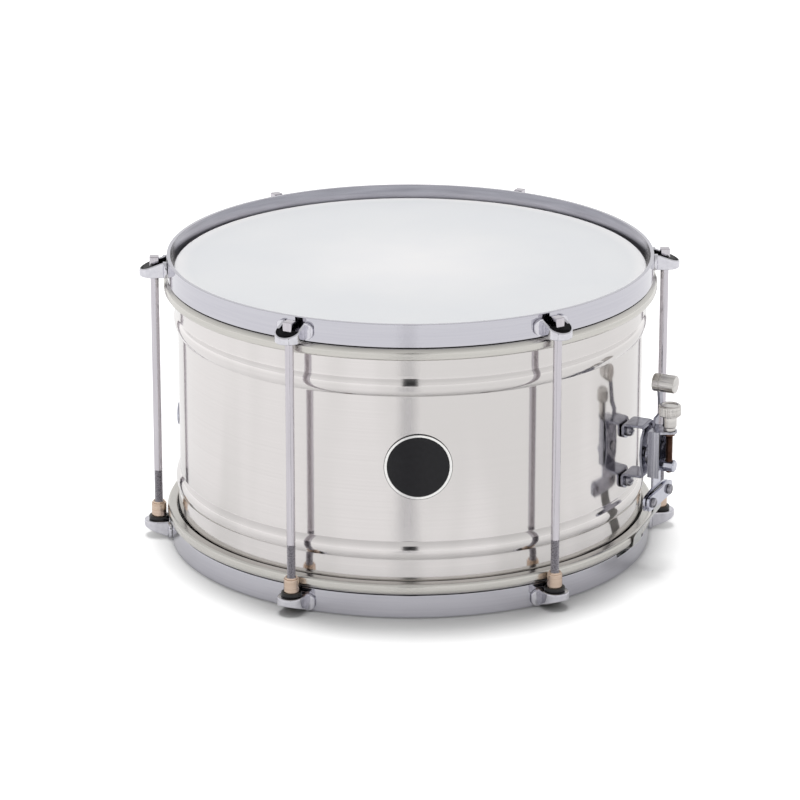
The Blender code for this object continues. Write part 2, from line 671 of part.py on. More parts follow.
def strap_mesh(upper_path):
    """Ribbon from (radius, z) points at its jaws, then down the way that both straps take."""
    under = MIDDLE - HEAD_HEIGHT - GAP - STRAP / 2 - 0.1
    path = upper_path + [(159.2, 21.6), (158.75, 17.6), (158.4, 15.6), (157.2, 14.1),
                         (155.0, 13.5), (153.3, 13.1), (152.5, 12.2), (152.3, 10.4),
                         (152.2, 8.6), (151.4, under + 0.15), (149.6, under), (116.8, under)]
    columns = (-1.0, -0.5, 0.0, 0.5, 1.0)
    sections = []
    for i, (r, z) in enumerate(path):
        before = path[max(i - 1, 0)]
        after = path[min(i + 1, len(path) - 1)]
        along_r, along_z = after[0] - before[0], after[1] - before[1]
        length = math.hypot(along_r, along_z)
        off_r, off_z = along_z / length * STRAP / 2, -along_r / length * STRAP / 2
        wrap = min(max((40.0 - z) / 15.0, 0.0), 1.0)
        loop = []
        for sign, order in ((-1, columns), (1, tuple(reversed(columns)))):
            for share in order:
                t = share * STRAP_HALF_WIDTH
                radius = r + sign * off_r
                round_drop = radius - math.sqrt(radius * radius - t * t)
                loop.append((t, -(radius - wrap * round_drop), z + sign * off_z))
        sections.append(loop)
    return loft("strap", sections)


# Snare wires: strands between two end plates, lying just under the snare head
def snare_wires_mesh():
    strand_z = MIDDLE - HEAD_HEIGHT - GAP - STRAND_RADIUS - 0.1
    half_width = STRAND_PITCH * SNARE_STRANDS / 2 + 1.0
    plate_low = strand_z - STRAND_RADIUS - 0.4
    inner_end, outer_end = 106.0, 121.0
    strand_end = 112.0
    plates = []
    for side in (-1, 1):
        ends = sorted((side * inner_end, side * outer_end))
        plates.append(box("end_plate", (-half_width, ends[0], plate_low),
                          (half_width, ends[1], plate_low + 1.0)))
    strands = []
    for i in range(SNARE_STRANDS):
        x = (i - (SNARE_STRANDS - 1) / 2) * STRAND_PITCH
        ring = [(x + STRAND_RADIUS * math.cos(math.radians(a)),
                 strand_z + STRAND_RADIUS * math.sin(math.radians(a)))
                for a in range(30, 390, 60)]
        strands.append(loft("strand", [[(px, y, pz) for px, pz in ring]
                                       for y in (-strand_end, strand_end)]))
    return combined("snare_wires", plates[0], plates[1:] + strands, "UNION")


# Badge: a thin round plate rolled to the shell's curve
def badge_mesh():
    rings = (0.0, 0.5, 0.94, 1.0)
    steps = 20
    bm = bmesh.new()
    layers = []
    for offset, thin in ((GAP, 0.0), (GAP + 0.8, 0.35)):
        grid = []
        for ring in rings:
            edge_drop = thin if ring == 1.0 else 0.0
            count = 1 if ring == 0.0 else steps
            row = []
            for i in range(count):
                angle = 2 * math.pi * i / steps
                t = BADGE_RADIUS * ring * math.cos(angle)
                radius = SHELL_RADIUS + offset - edge_drop
                row.append(bm.verts.new((radius * math.sin(t / radius) * MM,
                                         -radius * math.cos(t / radius) * MM,
                                         (BADGE_Z + BADGE_RADIUS * ring * math.sin(angle)) * MM)))
            grid.append(row)
        layers.append(grid)
    for grid in layers:
        for i in range(steps):
            j = (i + 1) % steps
            bm.faces.new((grid[0][0], grid[1][i], grid[1][j]))
            for near, far in zip(grid[1:], grid[2:]):
                bm.faces.new((near[i], near[j], far[j], far[i]))
    for i in range(steps):
        j = (i + 1) % steps
        bm.faces.new((layers[0][-1][i], layers[0][-1][j], layers[1][-1][j], layers[1][-1][i]))
    return mesh_from(bm, "badge")


# Vent grommet: a flanged eyelet in the shell wall
def vent_mesh():
    face = SHELL_RADIUS + 0.4
    back = SHELL_RADIUS - SHELL_WALL - 0.8
    bore, barrel, flange = 3.2, VENT_HOLE_RADIUS - 0.35, 7.5
    profile = [(bore, face + 1.0), (flange - 1.6, face + 1.4), (flange, face), (barrel, face),
               (barrel, back), (flange - 1.6, back), (flange - 1.6, back - 0.8), (bore, back - 0.8)]
    return pointing_out(turned("vent_grommet", profile, 14), 0.0, VENT_Z)


def build_body():
    """Shell, heads and hoops."""
    satin = material("satin aluminium shell", "DEDAD6", 1.0, 0.34)
    place("shell", shell_mesh(), satin)
    place("batter_head", turned("batter_head", upward(head_profile()), RING_STEPS, True),
          material("coated batter film", "ECECEA", 0.0, 0.45))
    place("snare_head", turned("snare_head", mirrored(head_profile()), RING_STEPS, True),
          material("clear snare film", "E2E4E4", 0.0, 0.3))
    flesh = material("satin flesh hoop", "D8D6CF", 1.0, 0.38)
    place("batter_flesh_hoop",
          turned("batter_flesh_hoop", upward(flesh_hoop_profile()), RING_STEPS), flesh)
    place("snare_flesh_hoop",
          turned("snare_flesh_hoop", mirrored(flesh_hoop_profile()), RING_STEPS), flesh)
    chrome = material("chrome hoop", "D6D4DC", 1.0, 0.12)
    place("batter_hoop", turned("batter_hoop", upward(hoop_profile()), RING_STEPS), chrome)
    place("snare_hoop", snare_hoop_mesh(), chrome)


def build_tension():
    """Six ears on each hoop, joined by six rods and their nuts."""
    ear = ear_mesh()
    rod = tension_rod_mesh()
    nut = sleeve_nut_mesh()
    washer = nut_washer_mesh()
    ear_finish = material("chrome ear", "D2D0D8", 1.0, 0.16)
    rod_finish = material("plated steel rod", "C4C2C2", 1.0, 0.24)
    nut_finish = material("brass sleeve nut", "C8A88C", 1.0, 0.3)
    washer_finish = material("black washer", "121214", 0.0, 0.5)
    upside_down = Matrix.Rotation(math.pi, 4, "Y")
    for i in range(ROD_COUNT):
        azimuth = FIRST_ROD_AZ + 60.0 * i
        axis = at(ROD_CIRCLE, azimuth, 0.0)
        place(f"upper_ear_{i + 1}", ear, ear_finish, azimuth, (0.0, 0.0, UPPER_EAR_FACE))
        place(f"lower_ear_{i + 1}", ear, ear_finish, azimuth, (0.0, 0.0, LOWER_EAR_FACE),
              turn=upside_down)
        place(f"tension_rod_{i + 1}", rod, rod_finish, azimuth, axis)
        place(f"sleeve_nut_{i + 1}", nut, nut_finish, azimuth, axis)
        place(f"nut_washer_{i + 1}", washer, washer_finish, azimuth, axis)


def build_strainer():
    """Throw-off strainer: bracket, lever, slide, tension screw and jaws."""
    plated = material("plated strainer steel", "A9A9B0", 1.0, 0.22)
    nickel = material("brushed nickel", "C2BDB4", 1.0, 0.32)
    screw_steel = material("screw steel", "8F8E92", 1.0, 0.3)
    lever_joint = joint_empty("lever_joint", at(LEVER_RADIUS, STRAINER_AZ, PIVOT_Z), STRAINER_AZ)
    slide_joint = joint_empty("slide_joint", at(SLIDE_RADIUS, STRAINER_AZ, PIVOT_Z), STRAINER_AZ)
    knob_axis = at(SCREW_CIRCLE, STRAINER_AZ, 0.0)
    place("strainer_bracket", strainer_bracket_mesh(), plated, STRAINER_AZ)
    inner_face = SHELL_RADIUS - SHELL_WALL
    screw = mounting_screw_mesh(FOOT_RADIUS + SHEET / 2 + GAP, inner_face - 0.8, 4.2, 3.4, 0.8)
    for label, z in zip(("upper", "lower"), MOUNT_SCREW_Z):
        place(f"strainer_screw_{label}", screw, screw_steel, STRAINER_AZ, (0.0, 0.0, z))
    place("lever_rivet", lever_rivet_mesh(), screw_steel, STRAINER_AZ)
    place("throw_off_lever", lever_mesh(), plated, STRAINER_AZ, parent=lever_joint)
    place("lever_barrel", lever_barrel_mesh(), nickel, STRAINER_AZ, parent=lever_joint)
    place("strainer_slide", strainer_slide_mesh(), plated, STRAINER_AZ, parent=slide_joint)
    place("tension_knob", tension_knob_mesh(), nickel, STRAINER_AZ, knob_axis)
    place("trunnion_nut", trunnion_mesh(), plated, STRAINER_AZ, parent=slide_joint)
    place("tension_plate", tension_plate_mesh(), plated, STRAINER_AZ, parent=slide_joint)


def build_snares():
    """Jaws at both ends, the two straps and the wires."""
    plated = material("plated clamp", "BDBDC6", 1.0, 0.18)
    screw_steel = material("clamp screw steel", "9B9AA0", 1.0, 0.26)
    ribbon = material("white strap", "EFEFEC", 0.0, 0.4)
    rear = material("plated butt plate", "B4B4BC", 1.0, 0.2)
    butt_rear = jaw_mesh("butt_plate", BUTT_JAW_RADIUS, JAW_SHEET, BUTT_JAW_HALF_HEIGHT, 2.0)
    place("butt_plate", butt_rear, rear, BUTT_AZ, (0.0, 0.0, BUTT_JAW_Z))
    inner = front_jaw_radius(JAW_RADIUS, SHEET)
    butt_inner = front_jaw_radius(BUTT_JAW_RADIUS, JAW_SHEET)
    jaw = jaw_mesh("clamp_plate", inner, JAW_SHEET, JAW_HALF_HEIGHT, JAW_SCREW_RADIUS)
    butt_jaw = jaw_mesh("butt_clamp_plate", butt_inner, JAW_SHEET, JAW_HALF_HEIGHT, 2.0)
    place("strainer_clamp_plate", jaw, plated, STRAINER_AZ, (0.0, 0.0, JAW_Z))
    place("butt_clamp_plate", butt_jaw, plated, BUTT_AZ, (0.0, 0.0, BUTT_JAW_Z))
    screw = clamp_screw_mesh(inner + JAW_SHEET + GAP, JAW_RADIUS - 1.0)
    inner_face = math.sqrt((SHELL_RADIUS - SHELL_WALL) ** 2 - (JAW_SCREW_T + 3.8) ** 2)
    butt_screw = mounting_screw_mesh(butt_inner + JAW_SHEET + GAP, inner_face - 0.8, 3.6, 2.0, 0.5)
    for number, t in ((1, -JAW_SCREW_T), (2, JAW_SCREW_T)):
        shift = Matrix.Translation((t * MM, 0.0, 0.0))
        place(f"strainer_clamp_screw_{number}", screw, screw_steel, STRAINER_AZ,
              (0.0, 0.0, JAW_Z), turn=shift)
        place(f"butt_clamp_screw_{number}", butt_screw, screw_steel, BUTT_AZ,
              (0.0, 0.0, BUTT_JAW_Z), turn=shift)
    middle = strap_radius(JAW_RADIUS, SHEET)
    strap = strap_mesh([(middle, JAW_Z + 5.2), (middle, JAW_Z - 5.8), (middle - 0.8, 41.6),
                        (161.0, 25.2)])
    middle = strap_radius(BUTT_JAW_RADIUS, JAW_SHEET)
    butt_strap = strap_mesh([(middle, BUTT_JAW_Z + 5.2), (middle, BUTT_JAW_Z - 7.0),
                             (152.9, 45.0), (153.2, 40.0), (158.2, 24.6)])
    place("strainer_strap", strap, ribbon, STRAINER_AZ)
    place("butt_strap", butt_strap, ribbon, BUTT_AZ)
    place("snare_wires", snare_wires_mesh(), material("snare wire", "B9B9BC", 1.0, 0.3),
          STRAINER_AZ)


def build_trim():
    """Blank badge and vent."""
    place("badge", badge_mesh(), material("black badge", "17161A", 0.0, 0.3), BADGE_AZ)
    place("vent_grommet", vent_mesh(), material("vent grommet", "B8B8BC", 1.0, 0.25), VENT_AZ)


clear_scene()
build_body()
build_tension()
build_strainer()
build_snares()
build_trim()
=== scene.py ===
import math

import bpy
from mathutils import Matrix, Vector


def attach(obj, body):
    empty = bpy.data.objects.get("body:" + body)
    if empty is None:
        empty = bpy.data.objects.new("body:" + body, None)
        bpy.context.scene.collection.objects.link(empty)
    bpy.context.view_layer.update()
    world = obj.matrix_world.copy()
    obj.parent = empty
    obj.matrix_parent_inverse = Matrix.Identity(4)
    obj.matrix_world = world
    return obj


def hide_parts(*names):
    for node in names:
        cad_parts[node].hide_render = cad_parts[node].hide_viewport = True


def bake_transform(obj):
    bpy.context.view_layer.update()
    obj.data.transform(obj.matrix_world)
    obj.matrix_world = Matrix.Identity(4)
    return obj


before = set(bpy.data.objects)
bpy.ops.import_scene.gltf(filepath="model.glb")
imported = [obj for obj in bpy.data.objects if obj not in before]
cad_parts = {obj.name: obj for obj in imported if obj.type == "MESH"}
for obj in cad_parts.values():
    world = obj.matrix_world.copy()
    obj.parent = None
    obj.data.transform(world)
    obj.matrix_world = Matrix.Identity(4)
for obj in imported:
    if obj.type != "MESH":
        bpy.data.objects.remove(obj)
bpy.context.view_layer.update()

# Shell
# The drum's body is one spun aluminium cylinder, polished until it mirrors the fittings. A bead is
# rolled in near each end, the ends turn in to the bearing edges, and the wall is drilled for the
# vent and for the screws of the strainer and of the butt clamp.
MM = 0.001
RING_STEPS = 192
SMALL_STEPS = 32
HEIGHT = 190.4
MIDDLE = HEIGHT / 2
SHELL_RADIUS = 149.4
SHELL_WALL = 1.5
SHELL_EDGE = 86.4
EDGE_ROUND = 1.3
COLLAR_RADIUS = 150.6
COLLAR_LOW = 61.4
BEAD_OUTSIDE = [(150.6, 59.0), (150.75, 58.4), (151.3, 57.2), (151.72, 55.6), (151.9, 53.6),
                (151.62, 51.4), (150.9, 49.4), (149.75, 47.6)]
BEAD_INSIDE = [(149.4, 50.4), (150.2, 51.8), (150.2, 57.4), (149.0, 60.8)]
SHELL_CREASE = 47.2
VENT_AZIMUTH = -96.0
VENT_Z = 78.0
VENT_RADIUS = 4.7
STRAINER_AZIMUTH = 62.5
BUTT_AZIMUTH = STRAINER_AZIMUTH + 180
BRACKET_SCREWS = (91.0, 57.4)
BUTT_HEIGHT = 60.0
JAW_SCREW_T = 14.0
SCREW_HOLE = 2.4
# Width of the painted reflection bands on the shell, in mm.
REFLECTION_BAND = 50.0


def linear(hex_colour):
    """sRGB hex colour as linear red, green, blue and alpha."""
    values = []
    for start in (0, 2, 4):
        share = int(hex_colour[start:start + 2], 16) / 255
        values.append(share / 12.92 if share <= 0.04045 else ((share + 0.055) / 1.055) ** 2.4)
    return (*values, 1.0)


def add_node(tree, kind, settings=None, values=None, links=None):
    """Add one shader node, with its settings, socket values and links from other nodes."""
    item = tree.nodes.new(kind)
    for key, value in (settings or {}).items():
        setattr(item, key, value)
    for key, value in (values or {}).items():
        item.inputs[key].default_value = value
    for key, source in (links or {}).items():
        tree.links.new(source, item.inputs[key])
    return item


def new_finish(name, values):
    """New material with a Principled shader, returned with its tree, shader and coordinates."""
    item = bpy.data.materials.new(name)
    item.use_nodes = True
    tree = item.node_tree
    shader = tree.nodes["Principled BSDF"]
    for key, value in values.items():
        shader.inputs[key].default_value = value
    return item, tree, shader, add_node(tree, "ShaderNodeTexCoord").outputs["Object"]


def worked_surface(item, light, shade, clouds, grain, roughness, spread, relief, depth):
    """Let a material's tone follow one pattern, and its gloss and relief another."""
    tree = item.node_tree
    shader = tree.nodes["Principled BSDF"]
    tone = add_node(tree, "ShaderNodeMapRange", values={"From Min": 0.3, "From Max": 0.7},
                    links={"Value": clouds}).outputs["Result"]
    mixed = add_node(tree, "ShaderNodeMix", {"data_type": "RGBA"},
                     {"A": linear(shade), "B": linear(light)}, {"Factor": tone})
    gloss = add_node(tree, "ShaderNodeMapRange",
                     values={"To Min": roughness - spread, "To Max": roughness + spread},
                     links={"Value": grain})
    bump = add_node(tree, "ShaderNodeBump", values={"Strength": relief, "Distance": depth},
                    links={"Height": grain})
    tree.links.new(mixed.outputs["Result"], shader.inputs["Base Color"])
    tree.links.new(gloss.outputs["Result"], shader.inputs["Roughness"])
    tree.links.new(bump.outputs["Normal"], shader.inputs["Normal"])


def worked_metal(name, light, shade, roughness, marks, spread=0.03, relief=0.01, azimuth=0.0):
    """Metal whose tone, gloss and relief follow its working marks.

    The marks' size is in millimetres along the rim, out of the drum and up, at an azimuth.
    """
    item, tree, shader, place = new_finish(name, {"Metallic": 1.0, "Roughness": roughness})
    lay = add_node(tree, "ShaderNodeMapping", {"vector_type": "TEXTURE"},
                   {"Rotation": (0, 0, math.radians(azimuth)), "Scale": [m * MM for m in marks]},
                   {"Vector": place}).outputs["Vector"]
    grain = add_node(tree, "ShaderNodeTexNoise", values={"Scale": 1.0, "Detail": 3.0},
                     links={"Vector": lay}).outputs["Fac"]
    worked_surface(item, light, shade, grain, grain, roughness, spread, relief, depth=0.0002)
    return item


def toned(item, colour, share):
    """Mix a colour into a material's own, by a share that varies over the piece."""
    tree = item.node_tree
    colour_in = tree.nodes["Principled BSDF"].inputs["Base Color"]
    mixed = add_node(tree, "ShaderNodeMix", {"data_type": "RGBA"}, {"B": linear(colour)},
                     {"A": colour_in.links[0].from_socket, "Factor": share})
    tree.links.new(mixed.outputs["Result"], colour_in)


def chosen(piece):
    """Select one piece alone and make it the active one."""
    bpy.ops.object.select_all(action="DESELECT")
    piece.select_set(True)
    bpy.context.view_layer.objects.active = piece


def drawn_line(name, points):
    """Draw a chain of edges through points in millimetres and leave it selected in edit mode."""
    bpy.ops.object.select_all(action="DESELECT")
    bpy.ops.mesh.primitive_plane_add(size=MM)
    piece = bpy.context.object
    piece.name = name
    bpy.ops.object.mode_set(mode="EDIT")
    bpy.ops.mesh.merge(type="CENTER")
    bpy.ops.transform.translate(value=Vector(points[0]) * MM)
    for before, after in zip(points, points[1:]):
        step = (Vector(after) - Vector(before)) * MM
        bpy.ops.mesh.extrude_region_move(TRANSFORM_OT_translate={"value": step})
    bpy.ops.mesh.select_all(action="SELECT")
    bpy.ops.mesh.remove_doubles(threshold=1e-6)
    return piece


def turned_piece(name, profile, steps=RING_STEPS):
    """Turn a profile of (radius, height) about Z, closed by itself or by the axis."""
    points = [(r, 0, z) for r, z in profile]
    if profile[0][0] > 0 or profile[-1][0] > 0:
        points.append(points[0])
    piece = drawn_line(name, points)
    bpy.ops.mesh.spin(steps=steps, angle=2 * math.pi, center=(0, 0, 0), axis=(0, 0, 1))
    bpy.ops.mesh.select_all(action="SELECT")
    bpy.ops.mesh.remove_doubles(threshold=1e-6)
    bpy.ops.mesh.normals_make_consistent(inside=False)
    bpy.ops.object.mode_set(mode="OBJECT")
    return piece


def arc(centre_r, centre_z, radius, start, end, count):
    """Points of a round stretch of a profile, by angles in degrees from outward to up."""
    points = []
    for i in range(count + 1):
        angle = math.radians(start + (end - start) * i / count)
        points.append((centre_r + radius * math.cos(angle), centre_z + radius * math.sin(angle)))
    return points


def upper(profile):
    """Profile in heights above the drum's middle, as heights above the floor."""
    return [(r, MIDDLE + h) for r, h in profile]


def lower(profile):
    """The same profile turned over for the snare side."""
    return [(r, MIDDLE - h) for r, h in reversed(profile)]


def apply_modifier(piece, kind, **settings):
    """Add a modifier to a piece and apply it."""
    chosen(piece)
    item = piece.modifiers.new(kind.title(), kind)
    for key, value in settings.items():
        setattr(item, key, value)
    bpy.ops.object.modifier_apply(modifier=item.name)


def discard(piece):
    """Remove a piece that was only a pattern or a tool."""
    bpy.data.objects.remove(piece, do_unlink=True)


def combined(piece, other, operation):
    """Cut, fuse or trim a piece with another one, which is used up."""
    apply_modifier(piece, "BOOLEAN", operation=operation, solver="EXACT", object=other)
    discard(other)


def smooth(piece, angle=35.0):
    """Shade a piece smooth, but for edges sharper than an angle, and keep its large faces flat."""
    chosen(piece)
    bpy.ops.object.shade_smooth_by_angle(angle=math.radians(angle))
    apply_modifier(piece, "WEIGHTED_NORMAL", keep_sharp=True, weight=100)


def facing_out(azimuth, radius, z, t=0.0, roll=0.0):
    """Place whose own Z points out of the drum, t along the rim, in millimetres and degrees."""
    place = Matrix.Rotation(math.radians(azimuth), 4, "Z")
    place = place @ Matrix.Translation((t * MM, -radius * MM, z * MM))
    place = place @ Matrix.Rotation(math.radians(90), 4, "X")
    return place @ Matrix.Rotation(math.radians(roll), 4, "Z")


def seated(piece, place):
    """Put a piece at its place and apply it, so that the place is in its mesh."""
    chosen(piece)
    piece.matrix_world = place
    bpy.ops.object.transform_apply(location=True, rotation=True, scale=True)
    return piece


def fitted(piece, name, finish, body, slot, *nodes):
    """Name a piece, give it its finish, let it ride and stand for its nodes."""
    piece.name = name
    piece.data.name = name
    piece.data.materials.clear()
    piece.data.materials.append(finish)
    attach(piece, body)
    if nodes:
        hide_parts(*nodes)


def drill_bit(radius, high, low):
    """Cylinder about Z between two heights, to bore a hole with."""
    return turned_piece("drill", [(0, high), (radius, high), (radius, low), (0, low)], SMALL_STEPS)


shell_outside = [(144.2, SHELL_EDGE - 4.1), (148.0, SHELL_EDGE - 0.5)]
shell_outside += arc(COLLAR_RADIUS - EDGE_ROUND, SHELL_EDGE - EDGE_ROUND, EDGE_ROUND, 100, 0, 6)
shell_outside += [(COLLAR_RADIUS, COLLAR_LOW)] + BEAD_OUTSIDE
# The second point at the crease keeps the long wall flat when it is shaded.
shell_outside += [(SHELL_RADIUS, SHELL_CREASE), (SHELL_RADIUS, SHELL_CREASE - 0.3)]
shell_inside = [(SHELL_RADIUS - SHELL_WALL, SHELL_CREASE)] + BEAD_INSIDE
shell_inside += [(149.0, SHELL_EDGE - 3.0), (145.3, SHELL_EDGE - 5.2)]
shell_profile = upper(shell_outside) + lower(shell_outside)
shell_profile += lower(shell_inside) + upper(shell_inside)
shell = turned_piece("shell", shell_profile)
holes = [(VENT_AZIMUTH, VENT_Z, VENT_RADIUS, 0.0)]
holes += [(STRAINER_AZIMUTH, z, SCREW_HOLE, 0.0) for z in BRACKET_SCREWS]
holes += [(BUTT_AZIMUTH, BUTT_HEIGHT, SCREW_HOLE, t) for t in (-JAW_SCREW_T, JAW_SCREW_T)]
for azimuth, z, radius, t in holes:
    drill = seated(drill_bit(radius, high=8, low=-8), facing_out(azimuth, SHELL_RADIUS, z, t))
    combined(shell, drill, "DIFFERENCE")
smooth(shell, 50.0)

# Spun and polished aluminium: it mirrors the floor and the fittings nearly white. The fine rings
# of the spinning tool, 0.4 mm apart and drawn at 1.2 mm so that they show, stretch what it mirrors
# up and down.
spun = worked_metal("spun and polished aluminium", "E2DEDD", "DDD9D8", roughness=0.11,
                    marks=(900.0, 900.0, 1.2), spread=0.008, relief=0.003)
tree = spun.node_tree
shader = tree.nodes["Principled BSDF"]
shader.inputs["Anisotropic"].default_value = 0.6
shader.inputs["Anisotropic Rotation"].default_value = 0.25
round_way = add_node(tree, "ShaderNodeTangent", {"direction_type": "RADIAL", "axis": "Z"})
tree.links.new(round_way.outputs["Tangent"], shader.inputs["Tangent"])
# Painted reflection: soft upright bands, 50 mm wide and about eight times as long up and down, make the
# shell darker in some places and lighter in others.
place = add_node(tree, "ShaderNodeTexCoord").outputs["Object"]
upright_way = add_node(tree, "ShaderNodeMapping", values={"Scale": (1, 1, 0.12)},
                       links={"Vector": place})
reflection_bands = add_node(tree, "ShaderNodeTexNoise", values={"Scale": 1000 / REFLECTION_BAND, "Detail": 2.0},
                  links={"Vector": upright_way.outputs["Vector"]})
dimmed = add_node(tree, "ShaderNodeMapRange", {"interpolation_type": "SMOOTHSTEP"},
                  {"From Min": 0.42, "From Max": 0.6, "To Max": 0.6}, {"Value": reflection_bands.outputs["Fac"]})
# The darker tone that the bands mix in is painted reflection.
toned(spun, "D0CDCB", dimmed.outputs["Result"])
fitted(shell, "shell_spun", spun, "drum", "shell", "shell")

# Heads
# Each head is a thin polyester film, heat-formed to a collar that runs down inside the flesh hoop.
# The batter film has a white sprayed coating with a fine tooth, and the snare film is plain.
HEAD_RECESS = 8.2
HEAD_TOP = MIDDLE - HEAD_RECESS
HEAD_FLAT = 148.6
HEAD_EDGE = 151.25
HEAD_FOOT = 77.0
HEAD_BEND = 1.8
FILM = 0.3
CLOUD = 60.0
TOOTH = 1.0
# Painted shade on the coat: where its darker ring fades in and out, in mm from the middle, and how dark
# it gets.
SHEEN_FADES = ((0, 100), (149, 140))
RING_SHADE = 0.45

bend = (HEAD_EDGE - HEAD_BEND, HEAD_TOP - HEAD_BEND)
head_profile = [(0, HEAD_TOP), (60, HEAD_TOP), (120, HEAD_TOP), (HEAD_FLAT, HEAD_TOP)]
head_profile += arc(*bend, HEAD_BEND, 80, 0, 8)
head_profile += [(HEAD_EDGE, HEAD_FOOT), (HEAD_EDGE - FILM, HEAD_FOOT)]
head_profile += arc(*bend, HEAD_BEND - FILM, 0, 80, 8)
head_profile += [(HEAD_FLAT, HEAD_TOP - FILM), (0, HEAD_TOP - FILM)]


def sprayed_film(name, light, shade, roughness, tooth):
    """Polyester film: cloudy coats 60 mm across under a tooth of 1 mm."""
    item, tree, shader, place = new_finish(name, {"IOR": 1.5, "Roughness": roughness,
                                                  "Specular IOR Level": 0.35})
    clouds = add_node(tree, "ShaderNodeTexNoise", values={"Scale": 1000 / CLOUD, "Detail": 4.0},
                      links={"Vector": place}).outputs["Fac"]
    grit = add_node(tree, "ShaderNodeTexNoise", values={"Scale": 1000 / TOOTH, "Detail": 2.0},
                    links={"Vector": place}).outputs["Fac"]
    worked_surface(item, light, shade, clouds, grit, roughness, spread=0.06, relief=tooth,
                   depth=0.0001)
    return item


# Sprayed white coating: matt, very slightly cloudy, with a tooth of 0.2 mm drawn at 1 mm.
coated = sprayed_film("coated polyester film", "F0EFEF", "EAEAEC", roughness=0.5, tooth=0.2)
# Painted sheen and shade: the coat keeps its full tone at the middle and round the edge, and is painted
# a little darker in between.
tree = coated.node_tree
place = add_node(tree, "ShaderNodeTexCoord").outputs["Object"]
flat = add_node(tree, "ShaderNodeMapping", values={"Scale": (1, 1, 0)}, links={"Vector": place})
away = add_node(tree, "ShaderNodeVectorMath", {"operation": "LENGTH"},
                links={0: flat.outputs["Vector"]})
fades = []
for full, thin in SHEEN_FADES:
    fades.append(add_node(tree, "ShaderNodeMapRange", {"interpolation_type": "SMOOTHSTEP"},
                          {"From Min": full * MM, "From Max": thin * MM, "To Max": RING_SHADE},
                          {"Value": away.outputs["Value"]}).outputs["Result"])
painted_ring = add_node(tree, "ShaderNodeMath", {"operation": "MINIMUM"}, links={0: fades[0], 1: fades[1]})
# Painted shade: the ring between the middle and the edge is darkened towards a cool grey.
toned(coated, "D3D7DB", painted_ring.outputs[0])
batter_head = turned_piece("batter_film", upper(head_profile))
smooth(batter_head, 50.0)
fitted(batter_head, "batter_film", coated, "drum", "batter_film", "batter_head")

# Plain polyester film: milky and smooth, with a soft sheen.
plain_film = sprayed_film("plain polyester film", "E6E8E8", "DFE2E3", roughness=0.25, tooth=0.03)
snare_head = turned_piece("snare_film", lower(head_profile))
smooth(snare_head, 50.0)
fitted(snare_head, "snare_film", plain_film, "drum", "snare_film", "snare_head")

# Flesh hoops
# A rolled aluminium ring with a rounded outside holds the edge of each film in a groove. It is left
# satin, a little warmer and duller than the shell.
HOOP_HEIGHT = 14.7
FLESH_GAP = 0.3
FLESH_TOP = MIDDLE - HOOP_HEIGHT - FLESH_GAP
FLESH_INNER = 151.6
FLESH_OUTER = 158.0
FLESH_FOOT = FLESH_TOP - 7.8

flesh_profile = [(FLESH_INNER, FLESH_TOP), (155.0, FLESH_TOP)]
flesh_profile += arc(FLESH_OUTER - 3.2, FLESH_TOP - 3.4, 3.2, 70, 0, 8)
flesh_profile += arc(FLESH_OUTER - 2.2, FLESH_TOP - 5.7, 2.1, 0, -80, 8)
flesh_profile += [(152.2, FLESH_FOOT), (FLESH_INNER, FLESH_FOOT + 0.6)]

# Rolled aluminium, satin: warm and soft, with faint marks that the rollers leave round the ring.
rolled = worked_metal("rolled satin aluminium", "D3D0CB", "C9C7C2", roughness=0.24,
                      marks=(40.0, 40.0, 1.5), spread=0.04)
for name, profile in (("batter", upper(flesh_profile)), ("snare", lower(flesh_profile))):
    ring = turned_piece(f"{name}_ring", profile)
    smooth(ring, 40.0)
    fitted(ring, f"{name}_flesh_ring", rolled, "drum", "flesh_hoop", f"{name}_flesh_hoop")

# Outer hoops
# Each hoop is a flat steel band, welded, ground and chromed. The snare-side one has a gate filed
# in its upper edge on two sides, where the straps pass.
HOOP_OUTER = 155.7
HOOP_INNER = 153.4
GATE_HALF = 23.0
GATE_FLOOR = 12.3


def block(low, high):
    """Block between two corners in millimetres."""
    bpy.ops.object.select_all(action="DESELECT")
    middle = (Vector(low) + Vector(high)) / 2 * MM
    size = (Vector(high) - Vector(low)) * MM
    bpy.ops.mesh.primitive_cube_add(size=1, location=middle, scale=size)
    bpy.ops.object.transform_apply(location=True, rotation=True, scale=True)
    return bpy.context.object


def about(azimuth):
    """Turn about the drum's axis, from azimuth 0."""
    return Matrix.Rotation(math.radians(azimuth), 4, "Z")


def softened(piece, width, segments=2, angle=30.0):
    """Round a piece's edges by a width in millimetres and shade it smooth."""
    apply_modifier(piece, "BEVEL", width=width * MM, segments=segments, limit_method="ANGLE",
                   angle_limit=math.radians(angle))
    smooth(piece)
    return piece


hoop_profile = [(HOOP_INNER, MIDDLE), (HOOP_OUTER, MIDDLE), (HOOP_OUTER, MIDDLE - HOOP_HEIGHT),
                (HOOP_INNER, MIDDLE - HOOP_HEIGHT)]
# Chromed steel: a cool mirror that returns a little over half the light, and more at its sides.
# Grinding under the chrome leaves faint marks along the band, 0.3 mm wide and drawn at 1 mm.
chromed = worked_metal("chromed steel", "CBCAD1", "C5C4CC", roughness=0.08,
                       marks=(60.0, 60.0, 1.0), spread=0.02, relief=0.006)
# Inside, the band has painted shade: its chrome is darker, and a little blurred.
shaded = worked_metal("chromed unground steel", "B8B7BF", "A4A3AB", roughness=0.14,
                        marks=(30.0, 30.0, 2.0), spread=0.04)


def second_finish(piece, finish, on_face):
    """Give the faces of a piece that pass a test another finish."""
    piece.data.materials.append(finish)
    for face in piece.data.polygons:
        if on_face(face):
            face.material_index = 1


def looks_inward(face):
    """Whether a face of a band looks at the drum's axis."""
    outward = face.normal.x * face.center.x + face.normal.y * face.center.y
    return outward < -0.7 * math.hypot(face.center.x, face.center.y)


